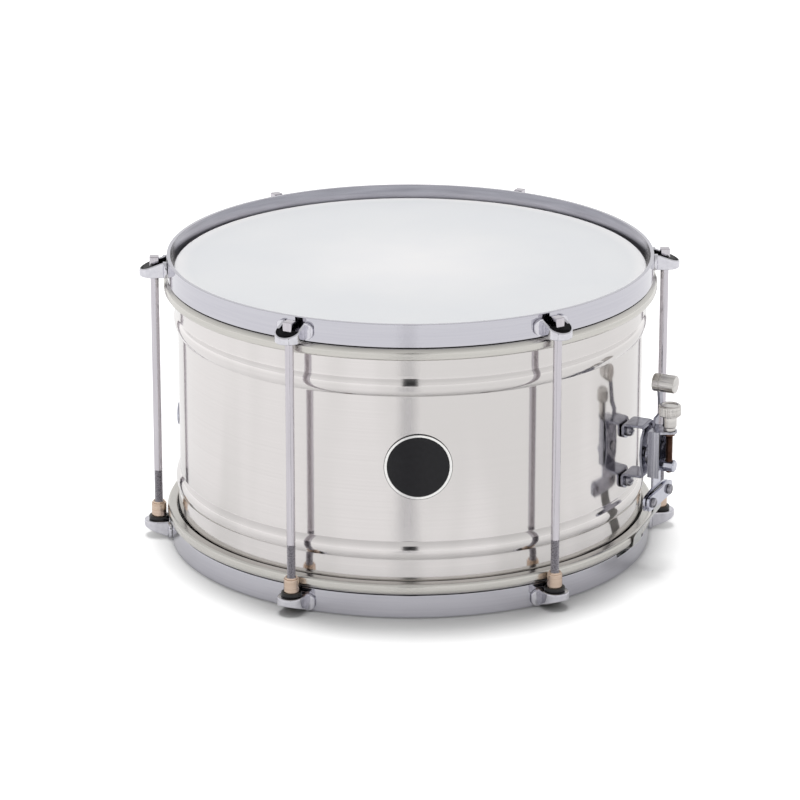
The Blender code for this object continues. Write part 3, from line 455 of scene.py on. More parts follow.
batter_band = softened(turned_piece("batter_band", upper(hoop_profile)), 0.25, 3)
fitted(batter_band, "batter_band", chromed, "drum", "hoop", "batter_hoop")
# The faces that look inward get the painted shade.
second_finish(batter_band, shaded, looks_inward)
snare_band = turned_piece("snare_band", lower(hoop_profile))
for azimuth in (STRAINER_AZIMUTH, BUTT_AZIMUTH):
    gate = block((-GATE_HALF, -HOOP_OUTER - 4, GATE_FLOOR),
                 (GATE_HALF, -HOOP_INNER + 8, HOOP_HEIGHT + 2))
    combined(snare_band, seated(gate, about(azimuth)), "DIFFERENCE")
softened(snare_band, 0.3)
fitted(snare_band, "snare_band", chromed, "drum", "hoop", "snare_hoop")
# The faces that look inward get the painted shade.
second_finish(snare_band, shaded, looks_inward)

# Ears
# Twelve cast and chromed claws: a cup round the tension rod, open on one side, with a wing on each
# side that lies against the hoop. The upper ones open up, the lower ones down.
ROD_CIRCLE = 163.6
ROD_AZIMUTHS = [-30 + 60 * i for i in range(6)]
EAR_HALF = 8.3
EAR_WALL = 1.9
EAR_CENTRE = 165.0
EAR_ROOT = 156.1
EAR_LIP = 7.6
EAR_REACH = 11.0
EAR_FLOOR = 2.0
EAR_HOLE = 5.1
EAR_RIM = 0.8
EAR_STEPS = 24
UPPER_EAR_FACE = 176.9
LOWER_EAR_FACE = 11.4
WING_TIP = 12.4
WING_SPANS = ((6.9, 2.4), (9.0, 2.4), (10.4, 2.4), (11.6, 1.8), (WING_TIP, 1.2))
WING_INSET = 0.2
WING_ROUND = 4.2


def sawn_plate(name, outline, low, high):
    """Plate between two heights, of an outline of (x, y) points, as sawn from sheet."""
    piece = drawn_line(name, [(x, y, low) for x, y in outline + outline[:1]])
    bpy.ops.mesh.edge_face_add()
    rise = (0, 0, (high - low) * MM)
    bpy.ops.mesh.extrude_region_move(TRANSFORM_OT_translate={"value": rise})
    bpy.ops.mesh.select_all(action="SELECT")
    bpy.ops.mesh.normals_make_consistent(inside=False)
    bpy.ops.object.mode_set(mode="OBJECT")
    return piece


def standing(azimuth, radius, z=0.0):
    """Place upright beside the drum's axis, by azimuth in degrees, radius and height in mm."""
    return about(azimuth) @ Matrix.Translation((0, -radius * MM, z * MM))


def cup_outline(half, root):
    """Cup in plan from root to root round the nose."""
    points = [(-half, -root)]
    for i in range(EAR_STEPS + 1):
        angle = math.pi * i / EAR_STEPS
        points.append((-half * math.cos(angle), -EAR_CENTRE - half * math.sin(angle)))
    return points + [(half, -root)]


def wing(side):
    """Wing that follows the hoop, thinner towards its tip, with round corners."""
    near = HOOP_OUTER + 0.3
    inner = [(side * t, -math.sqrt(near * near - t * t)) for t, thick in WING_SPANS]
    outer = [(side * t, -math.sqrt(near * near - t * t) - thick) for t, thick in WING_SPANS]
    piece = sawn_plate("wing", inner + outer[::-1], WING_INSET, EAR_REACH - WING_INSET)
    low, high = sorted((0.0, side * WING_TIP))
    lobe = block((low, -near - 9, WING_INSET), (high, -near + 9, EAR_REACH - WING_INSET))
    combined(piece, softened(lobe, WING_ROUND, 6), "INTERSECT")
    return piece


def cast_ear():
    """Ear with its closed face at z = 0, at azimuth 0."""
    cup = sawn_plate("cup", cup_outline(EAR_HALF, EAR_ROOT), 0, EAR_REACH)
    hollow = cup_outline(EAR_HALF - EAR_WALL, EAR_ROOT - 2)
    combined(cup, sawn_plate("hollow", hollow, EAR_FLOOR, EAR_REACH + 3), "DIFFERENCE")
    # The lip is level round the nose, and from there rises in a slope to the root.
    slope = math.atan2(EAR_REACH - EAR_LIP, EAR_CENTRE - EAR_ROOT)
    for tilt, reach in ((0.0, 0), (slope, 30)):
        lip = standing(0, EAR_CENTRE, EAR_LIP) @ Matrix.Rotation(tilt, 4, "X")
        combined(cup, seated(block((-14, -30, 0), (14, reach, 20)), lip), "DIFFERENCE")
    softened(cup, EAR_RIM, 4, 28.0)
    for side in (-1, 1):
        combined(cup, softened(wing(side), 0.4, 3, 40.0), "UNION")
    drill = seated(drill_bit(EAR_HOLE, high=5, low=-3), standing(0, ROD_CIRCLE))
    combined(cup, drill, "DIFFERENCE")
    smooth(cup, 32.0)
    return cup


def twin(pattern):
    """Copy of a pattern piece with its own mesh."""
    piece = pattern.copy()
    piece.data = pattern.data.copy()
    bpy.context.scene.collection.objects.link(piece)
    return piece


# Chromed zinc casting: as cool a mirror as the hoops, gently uneven from the mould.
cast = worked_metal("chromed zinc casting", "DDDCE2", "CECDD4", roughness=0.08,
                    marks=(3.0, 3.0, 3.0), relief=0.05)
# Painted shade inside the cups: their inner faces are nearly black and dull.
cup_shade = worked_metal("zinc casting in painted shade", "2A2A2E", "1A1A1D", roughness=0.45,
                         marks=(1.0, 1.0, 1.0), spread=0.1, relief=0.1)
ear_pattern = cast_ear()


def in_cup(face):
    """Whether a face of an ear lies inside its cup, by its place in the pattern."""
    t, out, up = ear_pattern.data.polygons[face.index].center / MM
    off_middle = math.hypot(t, max(-out - EAR_CENTRE, 0.0))
    low_enough = EAR_FLOOR - 0.1 < up < EAR_LIP - 0.6
    return off_middle < EAR_HALF - EAR_WALL + 0.15 and low_enough and -out > EAR_ROOT + 0.2


for azimuth, number in zip(ROD_AZIMUTHS, range(1, 7)):
    for level, face in (("upper", UPPER_EAR_FACE), ("lower", LOWER_EAR_FACE)):
        way = Matrix.Rotation(math.pi if level == "lower" else 0.0, 4, "Y")
        ear = seated(twin(ear_pattern), standing(azimuth, 0, face) @ way)
        fitted(ear, f"{level}_claw_{number}", cast, "drum", "ear", f"{level}_ear_{number}")
        # Painted shade on the faces inside the cup.
        second_finish(ear, cup_shade, in_cup)
discard(ear_pattern)

# Tension rods
# Plated steel rods with a forged flange and a square key head on top, as every drum key fits.
# The last stretch above the sleeve nut shows its rolled thread.
ROD_RADIUS = 2.7
FLANGE_RADIUS = 6.2
FLANGE_LOW = UPPER_EAR_FACE + EAR_FLOOR + 0.3
KEY_HALF = 3.05
KEY_TOP = 189.6
ROD_FOOT = 8.6
THREAD_TOP = 45.0
THREAD_PITCH = 0.8
THREAD_DEPTH = 0.4

rod_profile = [(0, FLANGE_LOW + 1.5), (FLANGE_RADIUS - 0.5, FLANGE_LOW + 1.5),
               (FLANGE_RADIUS, FLANGE_LOW + 1.0), (FLANGE_RADIUS, FLANGE_LOW + 0.3),
               (FLANGE_RADIUS - 0.3, FLANGE_LOW), (ROD_RADIUS, FLANGE_LOW),
               (ROD_RADIUS, THREAD_TOP)]
for k in range(int((THREAD_TOP - ROD_FOOT - 1) / THREAD_PITCH)):
    crest = THREAD_TOP - k * THREAD_PITCH
    rod_profile += [(ROD_RADIUS - THREAD_DEPTH, crest - THREAD_PITCH / 2),
                    (ROD_RADIUS, crest - THREAD_PITCH)]
rod_profile += [(ROD_RADIUS - 0.8, ROD_FOOT), (0, ROD_FOOT)]

# Nickel-plated steel: a soft mirror with a faint violet cast, drawn lengthwise.
plated_rod = worked_metal("nickel-plated rod steel", "D0CCD2", "C6C2C8", roughness=0.14,
                          marks=(1.0, 1.0, 30.0))
# Rolled thread: the plating is thin on it and oil stays in it, so it is grey and half dull.
threaded = worked_metal("oiled steel thread", "B4B1B7", "918E94", roughness=0.28,
                        marks=(1.0, 1.0, 0.8), spread=0.08)
rod_pattern = turned_piece("rod", rod_profile, SMALL_STEPS)
smooth(rod_pattern, 32.0)
key_head = block((-KEY_HALF, -KEY_HALF, FLANGE_LOW + 1.0), (KEY_HALF, KEY_HALF, KEY_TOP))
combined(rod_pattern, softened(key_head, 0.6, 3), "UNION")
smooth(rod_pattern, 32.0)
for azimuth, number in zip(ROD_AZIMUTHS, range(1, 7)):
    rod = seated(twin(rod_pattern), standing(azimuth, ROD_CIRCLE))
    fitted(rod, f"key_rod_{number}", plated_rod, f"rod_{number}", "rod", f"tension_rod_{number}")
    second_finish(rod, threaded, lambda face: face.center.z < THREAD_TOP * MM)
discard(rod_pattern)

# Sleeve nuts and washers
# Turned brass sleeves take the rods' threads. Each has a flange under the lower ear and a thick
# black nylon ring between the ear and its visible end.
NUT_RADIUS = 4.8
NUT_TOP = 23.7
NUT_BORE = ROD_RADIUS + 0.35
NUT_FACE = LOWER_EAR_FACE - EAR_FLOOR - 0.3
WASHER_LOW = LOWER_EAR_FACE + 0.3
WASHER_TOP = WASHER_LOW + 2.3

nut_profile = [(NUT_BORE, NUT_TOP - 0.2), (NUT_RADIUS - 1.0, NUT_TOP)]
nut_profile += [(NUT_RADIUS - 0.9, NUT_TOP - 1.0), (NUT_RADIUS - 0.2, NUT_TOP - 1.1)]
nut_profile += [(NUT_RADIUS, NUT_TOP - 1.5), (NUT_RADIUS, NUT_FACE), (FLANGE_RADIUS, NUT_FACE)]
nut_profile += [(FLANGE_RADIUS, NUT_FACE - 1.8), (NUT_BORE, NUT_FACE - 1.8)]
washer_profile = [(EAR_HOLE, WASHER_LOW), (EAR_HOLE, WASHER_TOP)]
washer_profile += arc(5.8, WASHER_TOP - 0.8, 0.8, 90, 0, 4)
washer_profile += [(6.6, WASHER_LOW + 0.4), (6.4, WASHER_LOW)]

# Turned brass, lightly tarnished: pale and pinkish, with the lathe's rings round it.
brass = worked_metal("turned brass", "DCC8B8", "CDB5A2", roughness=0.26,
                     marks=(20.0, 20.0, 0.5), spread=0.05)


def clouded(name, values, size, shade, light, detail=2.0):
    """Material of two close tones in clouds of a size in millimetres, and its clouds."""
    item, tree, shader, place = new_finish(name, values)
    clouds = add_node(tree, "ShaderNodeTexNoise", values={"Scale": 1000 / size, "Detail": detail},
                      links={"Vector": place}).outputs["Fac"]
    mixed = add_node(tree, "ShaderNodeMix", {"data_type": "RGBA"},
                     {"A": linear(shade), "B": linear(light)}, {"Factor": clouds})
    tree.links.new(mixed.outputs["Result"], shader.inputs["Base Color"])
    return item, clouds


# Moulded nylon: black with a low gloss, and a faint unevenness of 2 mm from the mould.
nylon, clouds = clouded("moulded black nylon", {"Roughness": 0.3, "IOR": 1.53}, size=2.0,
                        shade="0B0B0C", light="161618")
nut_pattern = turned_piece("nut", nut_profile, SMALL_STEPS)
smooth(nut_pattern, 30.0)
washer_pattern = turned_piece("washer", washer_profile, SMALL_STEPS)
smooth(washer_pattern, 40.0)
for azimuth, number in zip(ROD_AZIMUTHS, range(1, 7)):
    nut = seated(twin(nut_pattern), standing(azimuth, ROD_CIRCLE))
    fitted(nut, f"brass_sleeve_{number}", brass, "drum", "nut", f"sleeve_nut_{number}")
    washer = seated(twin(washer_pattern), standing(azimuth, ROD_CIRCLE))
    fitted(washer, f"nylon_ring_{number}", nylon, "drum", "washer", f"nut_washer_{number}")
discard(nut_pattern)
discard(washer_pattern)

# Strainer's pressed steel
# The bracket, lever, slide and jaws are blanked from sheet, bent and plated. Their sheared edges
# are tumbled round. The bracket and the lever are darker than the slide and the jaws.


def eased_copy(node, width, segments=2):
    """Copy of a node's solid, with its flat faces whole and its edges rounded."""
    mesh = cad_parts[node].data.copy()
    piece = bpy.data.objects.new(node + "_copy", mesh)
    bpy.context.scene.collection.objects.link(piece)
    chosen(piece)
    bpy.ops.object.mode_set(mode="EDIT")
    bpy.ops.mesh.select_all(action="SELECT")
    bpy.ops.mesh.remove_doubles(threshold=1e-5)
    bpy.ops.mesh.dissolve_limited(angle_limit=math.radians(1.0))
    bpy.ops.object.mode_set(mode="OBJECT")
    return softened(piece, width, segments, 35.0)


# Zinc-plated steel with a dark passivated coat: slate grey and glossy, a little cloudy.
dark_plate = worked_metal("dark zinc-plated steel", "A2A2AC", "7E7E8A", roughness=0.12,
                          marks=(6.0, 6.0, 6.0), spread=0.04, relief=0.03,
                          azimuth=STRAINER_AZIMUTH)
# Zinc-plated steel, drawn through the press: bright, with light and dark lines up its length.
drawn_plate = worked_metal("drawn zinc-plated steel", "C4C4CB", "8E8E98", roughness=0.2,
                           marks=(1.1, 1.1, 60.0), spread=0.06, relief=0.06,
                           azimuth=STRAINER_AZIMUTH)
# Bright zinc plate: pale, bluish and glossy, as the coat comes from the bath.
bright_plate = worked_metal("bright zinc-plated steel", "C9CAD4", "BBBCC8", roughness=0.13,
                            marks=(5.0, 5.0, 5.0), relief=0.02, azimuth=STRAINER_AZIMUTH)
PRESSED = (
    ("strainer_bracket", "bent_bracket", dark_plate, "drum", "strainer", 0.3),
    ("throw_off_lever", "throw_lever", dark_plate, "lever", "strainer", 0.3),
    ("strainer_slide", "channel_slide", drawn_plate, "slide", "strainer", 0.25),
    ("tension_plate", "rear_jaw", bright_plate, "clamp", "clamp", 0.3),
    ("strainer_clamp_plate", "front_jaw", bright_plate, "clamp", "clamp", 0.35),
    ("butt_plate", "butt_rear_jaw", bright_plate, "drum", "clamp", 0.3),
    ("butt_clamp_plate", "butt_front_jaw", bright_plate, "drum", "clamp", 0.35),
)
for node, name, finish, body, slot_name, width in PRESSED:
    fitted(eased_copy(node, width), name, finish, body, slot_name, node)

# Screws and rivet
# Slotted steel screws hold the bracket and the butt clamp on the shell, with nuts inside, and draw
# the jaws together. The lever turns on a headed rivet.
BRACKET_SEAT = 151.7
SHELL_NUT_FACE = 147.1
JAW_SEAT = 174.4
JAW_HEIGHT = 49.8
BUTT_SEAT = 154.3
BUTT_NUT_FACE = 146.0
NUT_HALF = 3.8
NUT_THICK = 2.6
SHANK_PAST = 4.2


def pan_screw(head_radius, head_height, slot_half, shank_radius, shank, nut_face=None):
    """Slotted screw with its seat at z = 0, its slot along x, its shank down and a nut on it."""
    profile = [(0, head_height), (head_radius * 0.5, head_height * 0.97)]
    profile += [(head_radius * 0.82, head_height * 0.8), (head_radius * 0.97, head_height * 0.45)]
    profile += [(head_radius, 0), (shank_radius, 0)]
    if nut_face:
        profile += [(shank_radius, -nut_face), (NUT_HALF, -nut_face)]
        profile += [(NUT_HALF, -nut_face - NUT_THICK), (shank_radius, -nut_face - NUT_THICK)]
    profile += [(shank_radius, -shank), (0, -shank)]
    screw = turned_piece("screw", profile, SMALL_STEPS)
    slot = (head_radius + 1, slot_half, head_height + 1)
    combined(screw, block((-slot[0], -slot[1], head_height * 0.5), slot), "DIFFERENCE")
    smooth(screw, 28.0)
    return screw


# Zinc-plated screw steel: a greyer, softer shine than the plates, with the lathe's fine marks.
screw_steel = worked_metal("zinc-plated screw steel", "A6A5AB", "918F96", roughness=0.22,
                           marks=(1.5, 1.5, 1.5), spread=0.05)
depth = BRACKET_SEAT - SHELL_NUT_FACE
bracket_screw = pan_screw(head_radius=4.2, head_height=3.4, slot_half=0.8, shank_radius=2.0,
                          shank=depth + SHANK_PAST, nut_face=depth)
for label, height in zip(("upper", "lower"), BRACKET_SCREWS):
    screw = seated(twin(bracket_screw), facing_out(STRAINER_AZIMUTH, BRACKET_SEAT, height))
    fitted(screw, f"bracket_screw_{label}", screw_steel, "drum", "screw", f"strainer_screw_{label}")
jaw_screw = pan_screw(head_radius=3.3, head_height=2.1, slot_half=0.4, shank_radius=1.7, shank=5.6)
depth = BUTT_SEAT - BUTT_NUT_FACE
butt_screw = pan_screw(head_radius=3.6, head_height=2.0, slot_half=0.5, shank_radius=2.0,
                       shank=depth + SHANK_PAST, nut_face=depth)
for number, t in ((1, -JAW_SCREW_T), (2, JAW_SCREW_T)):
    roll = 35 * number
    screw = seated(twin(jaw_screw), facing_out(STRAINER_AZIMUTH, JAW_SEAT, JAW_HEIGHT, t, roll))
    node = f"strainer_clamp_screw_{number}"
    fitted(screw, f"strainer_jaw_screw_{number}", screw_steel, "clamp", "screw", node)
    screw = seated(twin(butt_screw), facing_out(BUTT_AZIMUTH, BUTT_SEAT, BUTT_HEIGHT, t, roll))
    node = f"butt_clamp_screw_{number}"
    fitted(screw, f"butt_jaw_screw_{number}", screw_steel, "drum", "screw", node)
for pattern in (bracket_screw, jaw_screw, butt_screw):
    discard(pattern)
fitted(eased_copy("lever_rivet", 0.2), "pivot_rivet", screw_steel, "drum", "screw", "lever_rivet")

# Lever barrel, knob and trunnion
# The barrel and the fluted knob are turned and nickel-plated. The knob's screw is left dark from
# hardening, and the trunnion that it runs through is plated like the slide.
BARREL_T = 2.0
BARREL_Z = 124.5
BARREL_RADIUS = 5.8
BARREL_INNER = 167.5
BARREL_OUTER = 182.2
BARREL_GROOVE = (4.3, 5.2)
GROOVE_DEPTH = 0.7
LEVER_TIP_T = (-0.6, 7.0)
LEVER_TIP_OUT = (168.9, 171.3)
KNOB_CIRCLE = 179.1
KNOB_RADIUS = 7.1
KNOB_LOW = 104.4
KNOB_TOP = 111.7
KNOB_FLUTES = 40
FLUTE_DEPTH = 0.35
NECK_RADIUS = 4.5
NECK_LOW = 97.5
HUB_RADIUS = 3.9
HUB_LOW = 94.9
CLIP_RADIUS = 3.6
CLIP_TOP = 92.7
CLIP_LOW = 91.5
SCREW_RADIUS = 2.3
SCREW_FOOT = 66.6
SCREW_PITCH = 0.8
SCREW_DEPTH = 0.35

# Nickel plate on turned brass: a warm, soft mirror with the lathe's fine rings.
nickel = worked_metal("nickel-plated brass", "DEDBD8", "BDBAB7", roughness=0.15,
                      marks=(40.0, 40.0, 1.5), spread=0.05)
# Hardened screw steel: brown from the oil it was quenched in, with a dull shine.
hardened = worked_metal("oil-hardened screw steel", "6B4F42", "4E382E", roughness=0.3,
                        marks=(2.0, 2.0, 2.0), spread=0.06)
groove_low, groove_high = (BARREL_INNER + rise for rise in BARREL_GROOVE)
groove_radius = BARREL_RADIUS - GROOVE_DEPTH
barrel_profile = [(0, BARREL_OUTER)]
barrel_profile += arc(BARREL_RADIUS - 0.9, BARREL_OUTER - 0.9, 0.9, 90, 0, 6)
barrel_profile += [(BARREL_RADIUS, groove_high), (groove_radius, groove_high - 0.1)]
barrel_profile += [(groove_radius, groove_low + 0.1), (BARREL_RADIUS, groove_low)]
barrel_profile += arc(BARREL_RADIUS - 0.6, BARREL_INNER + 0.6, 0.6, 0, -90, 4) + [(0, BARREL_INNER)]
barrel = turned_piece("barrel", barrel_profile, steps=64)
seated(barrel, facing_out(0, 0, BARREL_Z, BARREL_T))
tip = block((LEVER_TIP_T[0], -LEVER_TIP_OUT[1], BARREL_Z - 9),
            (LEVER_TIP_T[1], -LEVER_TIP_OUT[0], BARREL_Z + 2))
combined(barrel, tip, "DIFFERENCE")
smooth(barrel, 35.0)
seated(barrel, about(STRAINER_AZIMUTH))
fitted(barrel, "thumb_barrel", nickel, "lever", "nickel", "lever_barrel")

knob_profile = [(0, KNOB_TOP - 0.7), (KNOB_RADIUS - 2.4, KNOB_TOP - 0.7), (KNOB_RADIUS - 2.0, KNOB_TOP)]
knob_profile += arc(KNOB_RADIUS - 1.2, KNOB_TOP - 1.2, 1.2, 90, 20, 5)
knob_profile += [(KNOB_RADIUS, KNOB_TOP - 1.6), (KNOB_RADIUS, KNOB_LOW + 0.7)]
knob_profile += [(KNOB_RADIUS - 0.7, KNOB_LOW), (NECK_RADIUS, KNOB_LOW), (NECK_RADIUS, NECK_LOW)]
knob_profile += [(HUB_RADIUS, NECK_LOW - 0.8), (HUB_RADIUS, HUB_LOW), (SCREW_RADIUS, HUB_LOW)]
knob_profile += [(SCREW_RADIUS, CLIP_TOP), (CLIP_RADIUS, CLIP_TOP), (CLIP_RADIUS, CLIP_LOW)]
knob_profile += [(SCREW_RADIUS, CLIP_LOW)]
for k in range(int((CLIP_LOW - SCREW_FOOT - 1) / SCREW_PITCH)):
    crest = CLIP_LOW - k * SCREW_PITCH
    knob_profile += [(SCREW_RADIUS - SCREW_DEPTH, crest - SCREW_PITCH / 2),
                     (SCREW_RADIUS, crest - SCREW_PITCH)]
knob_profile += [(1.6, SCREW_FOOT), (0, SCREW_FOOT)]
knob = turned_piece("knob", knob_profile, steps=KNOB_FLUTES * 2)
# Every second upright edge of the knob's side is drawn in a little, and that leaves the flutes.
chosen(knob)
bpy.ops.object.mode_set(mode="EDIT")
bpy.ops.mesh.select_mode(type="EDGE")
bpy.ops.mesh.select_all(action="DESELECT")
bpy.ops.object.mode_set(mode="OBJECT")
for edge in knob.data.edges:
    a, b = (knob.data.vertices[v].co / MM for v in edge.vertices)
    turn = math.atan2(a.y, a.x) / (2 * math.pi) * KNOB_FLUTES * 2
    upright = math.hypot(a.x - b.x, a.y - b.y) < 0.01
    on_side = math.hypot(a.x, a.y) > KNOB_RADIUS - 0.05 and min(a.z, b.z) > KNOB_LOW + 0.5
    edge.select = upright and on_side and round(turn) % 2 == 1
bpy.ops.object.mode_set(mode="EDIT")
flute = 1 - FLUTE_DEPTH / KNOB_RADIUS
bpy.ops.transform.resize(value=(flute, flute, 1), center_override=(0, 0, 0))
bpy.ops.mesh.select_mode(type="VERT")
bpy.ops.object.mode_set(mode="OBJECT")
smooth(knob, 24.0)
seated(knob, standing(STRAINER_AZIMUTH, KNOB_CIRCLE))
fitted(knob, "fluted_knob", nickel, "knob", "nickel", "tension_knob")
second_finish(knob, hardened, lambda face: face.center.z < HUB_LOW * MM)
trunnion = eased_copy("trunnion_nut", 0.5, 3)
fitted(trunnion, "trunnion_bar", bright_plate, "clamp", "strainer", "trunnion_nut")

# Straps
# A white strip of polyester film from each clamp runs over the flesh hoop, through the gate in the
# lower hoop and in under the snare head to the wires.
STRAP_HALF = 6.5
STRAP = 0.5
STRAP_TOPS = {
    "strainer": ((171.95, 55.0), (171.95, 41.4), (171.15, 39.4), (161.0, 25.2)),
    "butt": ((151.85, 65.2), (151.85, 53.0), (152.9, 45.0), (153.2, 40.0), (158.2, 24.6)),
}
STRAP_WAY_IN = ((159.2, 21.6), (158.75, 17.6), (158.4, 15.6), (157.2, 14.1), (155.0, 13.5),
                (153.3, 13.1), (152.5, 12.2), (152.3, 10.4), (152.2, 8.6), (151.4, 7.7),
                (149.6, 7.55), (116.8, 7.55))


def strap_piece(side):
    """Strip along the strap's way at azimuth 0, drawn on one edge and pulled to its width."""
    way = STRAP_TOPS[side] + STRAP_WAY_IN
    piece = drawn_line("strap", [(-STRAP_HALF, -r, z) for r, z in way])
    bpy.ops.mesh.subdivide(number_cuts=3)
    across = (2 * STRAP_HALF * MM, 0, 0)
    bpy.ops.mesh.select_all(action="SELECT")
    bpy.ops.mesh.extrude_region_move(TRANSFORM_OT_translate={"value": across})
    bpy.ops.object.mode_set(mode="OBJECT")
    apply_modifier(piece, "SOLIDIFY", thickness=STRAP * MM, offset=0.0, use_even_offset=True)
    smooth(piece, 40.0)
    return piece


# White polyester film: bright and smooth, with a soft sheen and faint milky clouds of 8 mm.
white_film, clouds = clouded("white polyester strip", {"Roughness": 0.35, "IOR": 1.5}, size=8.0,
                             shade="E4E4E2", light="F4F4F2", detail=3.0)
butt_strap = seated(strap_piece("butt"), about(BUTT_AZIMUTH))
fitted(butt_strap, "butt_ribbon", white_film, "drum", "strap", "butt_strap")
strainer_strap = seated(strap_piece("strainer"), about(STRAINER_AZIMUTH))
strainer_strap.name = "strainer_ribbon"
strainer_strap.data.materials.append(white_film)
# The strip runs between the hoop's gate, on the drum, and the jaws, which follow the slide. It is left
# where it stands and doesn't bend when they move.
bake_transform(strainer_strap)
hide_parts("strainer_strap")

# Snare wires
# Twelve coiled steel wires are soldered between two end plates and lie against the lower head.
# Each is wound as a spring, so that it rattles on the film.
WIRE_COUNT = 12
WIRE_PITCH = 2.0
WIRE_RADIUS = 0.8
WIRE_GAUGE = 0.2
WIRE_HALF = 112.0
WIRE_GAP = 0.4
COIL_PITCH = 2.4
WIRE_Z = HEAD_RECESS - WIRE_RADIUS - WIRE_GAP
PLATE_ENDS = (106.0, 121.0)
PLATE_LOW = WIRE_Z - WIRE_RADIUS - 0.4
PLATE_THICK = 1.0

# Bright drawn steel wire: a hard, thin shine.
wire_steel = worked_metal("bright drawn steel", "C8C8CB", "B4B4B8", roughness=0.2,
                          marks=(2.0, 2.0, 2.0))
coil_turns = int(2 * WIRE_HALF / COIL_PITCH)
bpy.ops.object.select_all(action="DESELECT")
bpy.ops.mesh.primitive_circle_add(vertices=4, radius=WIRE_GAUGE * MM,
                                  location=((WIRE_RADIUS - WIRE_GAUGE) * MM, 0, -WIRE_HALF * MM),
                                  rotation=(math.radians(90), 0, 0))
bpy.ops.object.transform_apply(location=True, rotation=True, scale=True)
coil_pattern = bpy.context.object
apply_modifier(coil_pattern, "SCREW", steps=8, render_steps=8, iterations=coil_turns,
               screw_offset=COIL_PITCH * MM)
bpy.ops.object.mode_set(mode="EDIT")
bpy.ops.mesh.select_all(action="SELECT")
bpy.ops.mesh.fill_holes(sides=4)
bpy.ops.mesh.select_all(action="SELECT")
bpy.ops.mesh.normals_make_consistent(inside=False)
bpy.ops.object.mode_set(mode="OBJECT")
coils = []
for k in range(WIRE_COUNT):
    t = (k - (WIRE_COUNT - 1) / 2) * WIRE_PITCH
    coils.append(seated(twin(coil_pattern), facing_out(STRAINER_AZIMUTH, 0, WIRE_Z, t)))
discard(coil_pattern)
for coil in coils:
    coil.select_set(True)
bpy.context.view_layer.objects.active = coils[0]
bpy.ops.object.join()
smooth(coils[0], 60.0)
fitted(coils[0], "snare_coils", wire_steel, "drum", "wire", "snare_wires")
half = WIRE_PITCH * WIRE_COUNT / 2 + 1.0
end_plate = softened(block((-half, -PLATE_ENDS[1], PLATE_LOW),
                           (half, -PLATE_ENDS[0], PLATE_LOW + PLATE_THICK)), 0.3)
for label, azimuth in (("strainer", STRAINER_AZIMUTH), ("butt", BUTT_AZIMUTH)):
    plate = seated(twin(end_plate), about(azimuth))
    fitted(plate, f"wire_end_plate_{label}", wire_steel, "drum", "wire")
discard(end_plate)

# Badge
# A round nickel plate, rolled to the shell's curve. Its plain face is filled with black enamel
# inside a bright raised rim.
BADGE_AZIMUTH = -1.4
BADGE_Z = 97.0
BADGE_RADIUS = 21.2
BADGE_BACK = 0.3
BADGE_STEPS = 12
RIM_WIDTH = 1.9
# Width of the painted shadow line round the rim's outer edge, in mm.
RIM_SHADOW_LINE = 0.45
BADGE_FACE = BADGE_RADIUS - RIM_WIDTH
badge_place = standing(BADGE_AZIMUTH, SHELL_RADIUS, BADGE_Z)


def rolled_disc(name, profile):
    """Disc turned about its own axis, then bent to the shell's curve and set on it."""
    disc = seated(turned_piece(name, profile, steps=96), facing_out(0, 0, 0))
    apply_modifier(disc, "SIMPLE_DEFORM", deform_method="BEND", deform_axis="Z",
                   angle=disc.dimensions.x / (SHELL_RADIUS * MM))
    smooth(disc, 30.0)
    return seated(disc, badge_place)


# Black enamel, baked: deep and glossy, with a faint ripple of 3 mm from its flow.
enamel_and_shadow, flow = clouded("baked black enamel",
                       {"Roughness": 0.22, "IOR": 1.5, "Specular IOR Level": 0.3}, size=3.0,
                       shade="131217", light="1C1B21")
tree = enamel_and_shadow.node_tree
ripple = add_node(tree, "ShaderNodeBump", values={"Strength": 0.02, "Distance": 0.0002},
                  links={"Height": flow})
tree.links.new(ripple.outputs["Normal"], tree.nodes["Principled BSDF"].inputs["Normal"])
stations = [BADGE_FACE * i / BADGE_STEPS for i in range(BADGE_STEPS + 1)]
face_profile = [(r, BADGE_BACK + 0.45) for r in stations]
face_profile += [(r, BADGE_BACK) for r in reversed(stations)]
fitted(rolled_disc("badge_face", face_profile), "badge_face", enamel_and_shadow, "drum", "badge", "badge")
# Polished nickel: the badge's rim, a bright line inside a painted shadow line of black enamel round its
# outer edge.
rim_nickel = worked_metal("polished nickel", "F7F6F5", "EDECEA", roughness=0.14,
                          marks=(2.0, 2.0, 2.0))
rim_profile = [(BADGE_FACE, BADGE_BACK), (BADGE_RADIUS, BADGE_BACK), (BADGE_RADIUS, BADGE_BACK + 0.4)]
rim_profile += arc(BADGE_RADIUS - 0.35, BADGE_BACK + 0.45, 0.35, 0, 90, 4)
rim_profile += [(BADGE_FACE + 0.2, BADGE_BACK + 0.8), (BADGE_FACE, BADGE_BACK + 0.6)]
rim = rolled_disc("badge_rim", rim_profile)
fitted(rim, "badge_rim", rim_nickel, "drum", "badge")
middle = badge_place.translation
bright = (BADGE_RADIUS - RIM_SHADOW_LINE) * MM
# Painted shadow: the rim's outer edge gets the black enamel.
second_finish(rim, enamel_and_shadow, lambda face: (face.center - middle).length > bright)

# Vent grommet
# An eyelet of zinc-plated steel lets air out of the shell. It is set from outside, with its flange
# on the shell's face, and its barrel is rolled over inside.
GROMMET_FLANGE = 7.5
GROMMET_BARREL = 4.3
GROMMET_BORE = 3.2
GROMMET_ROLL = 5.9
GROMMET_FACE = 0.4
GROMMET_BACK = -SHELL_WALL - 0.8

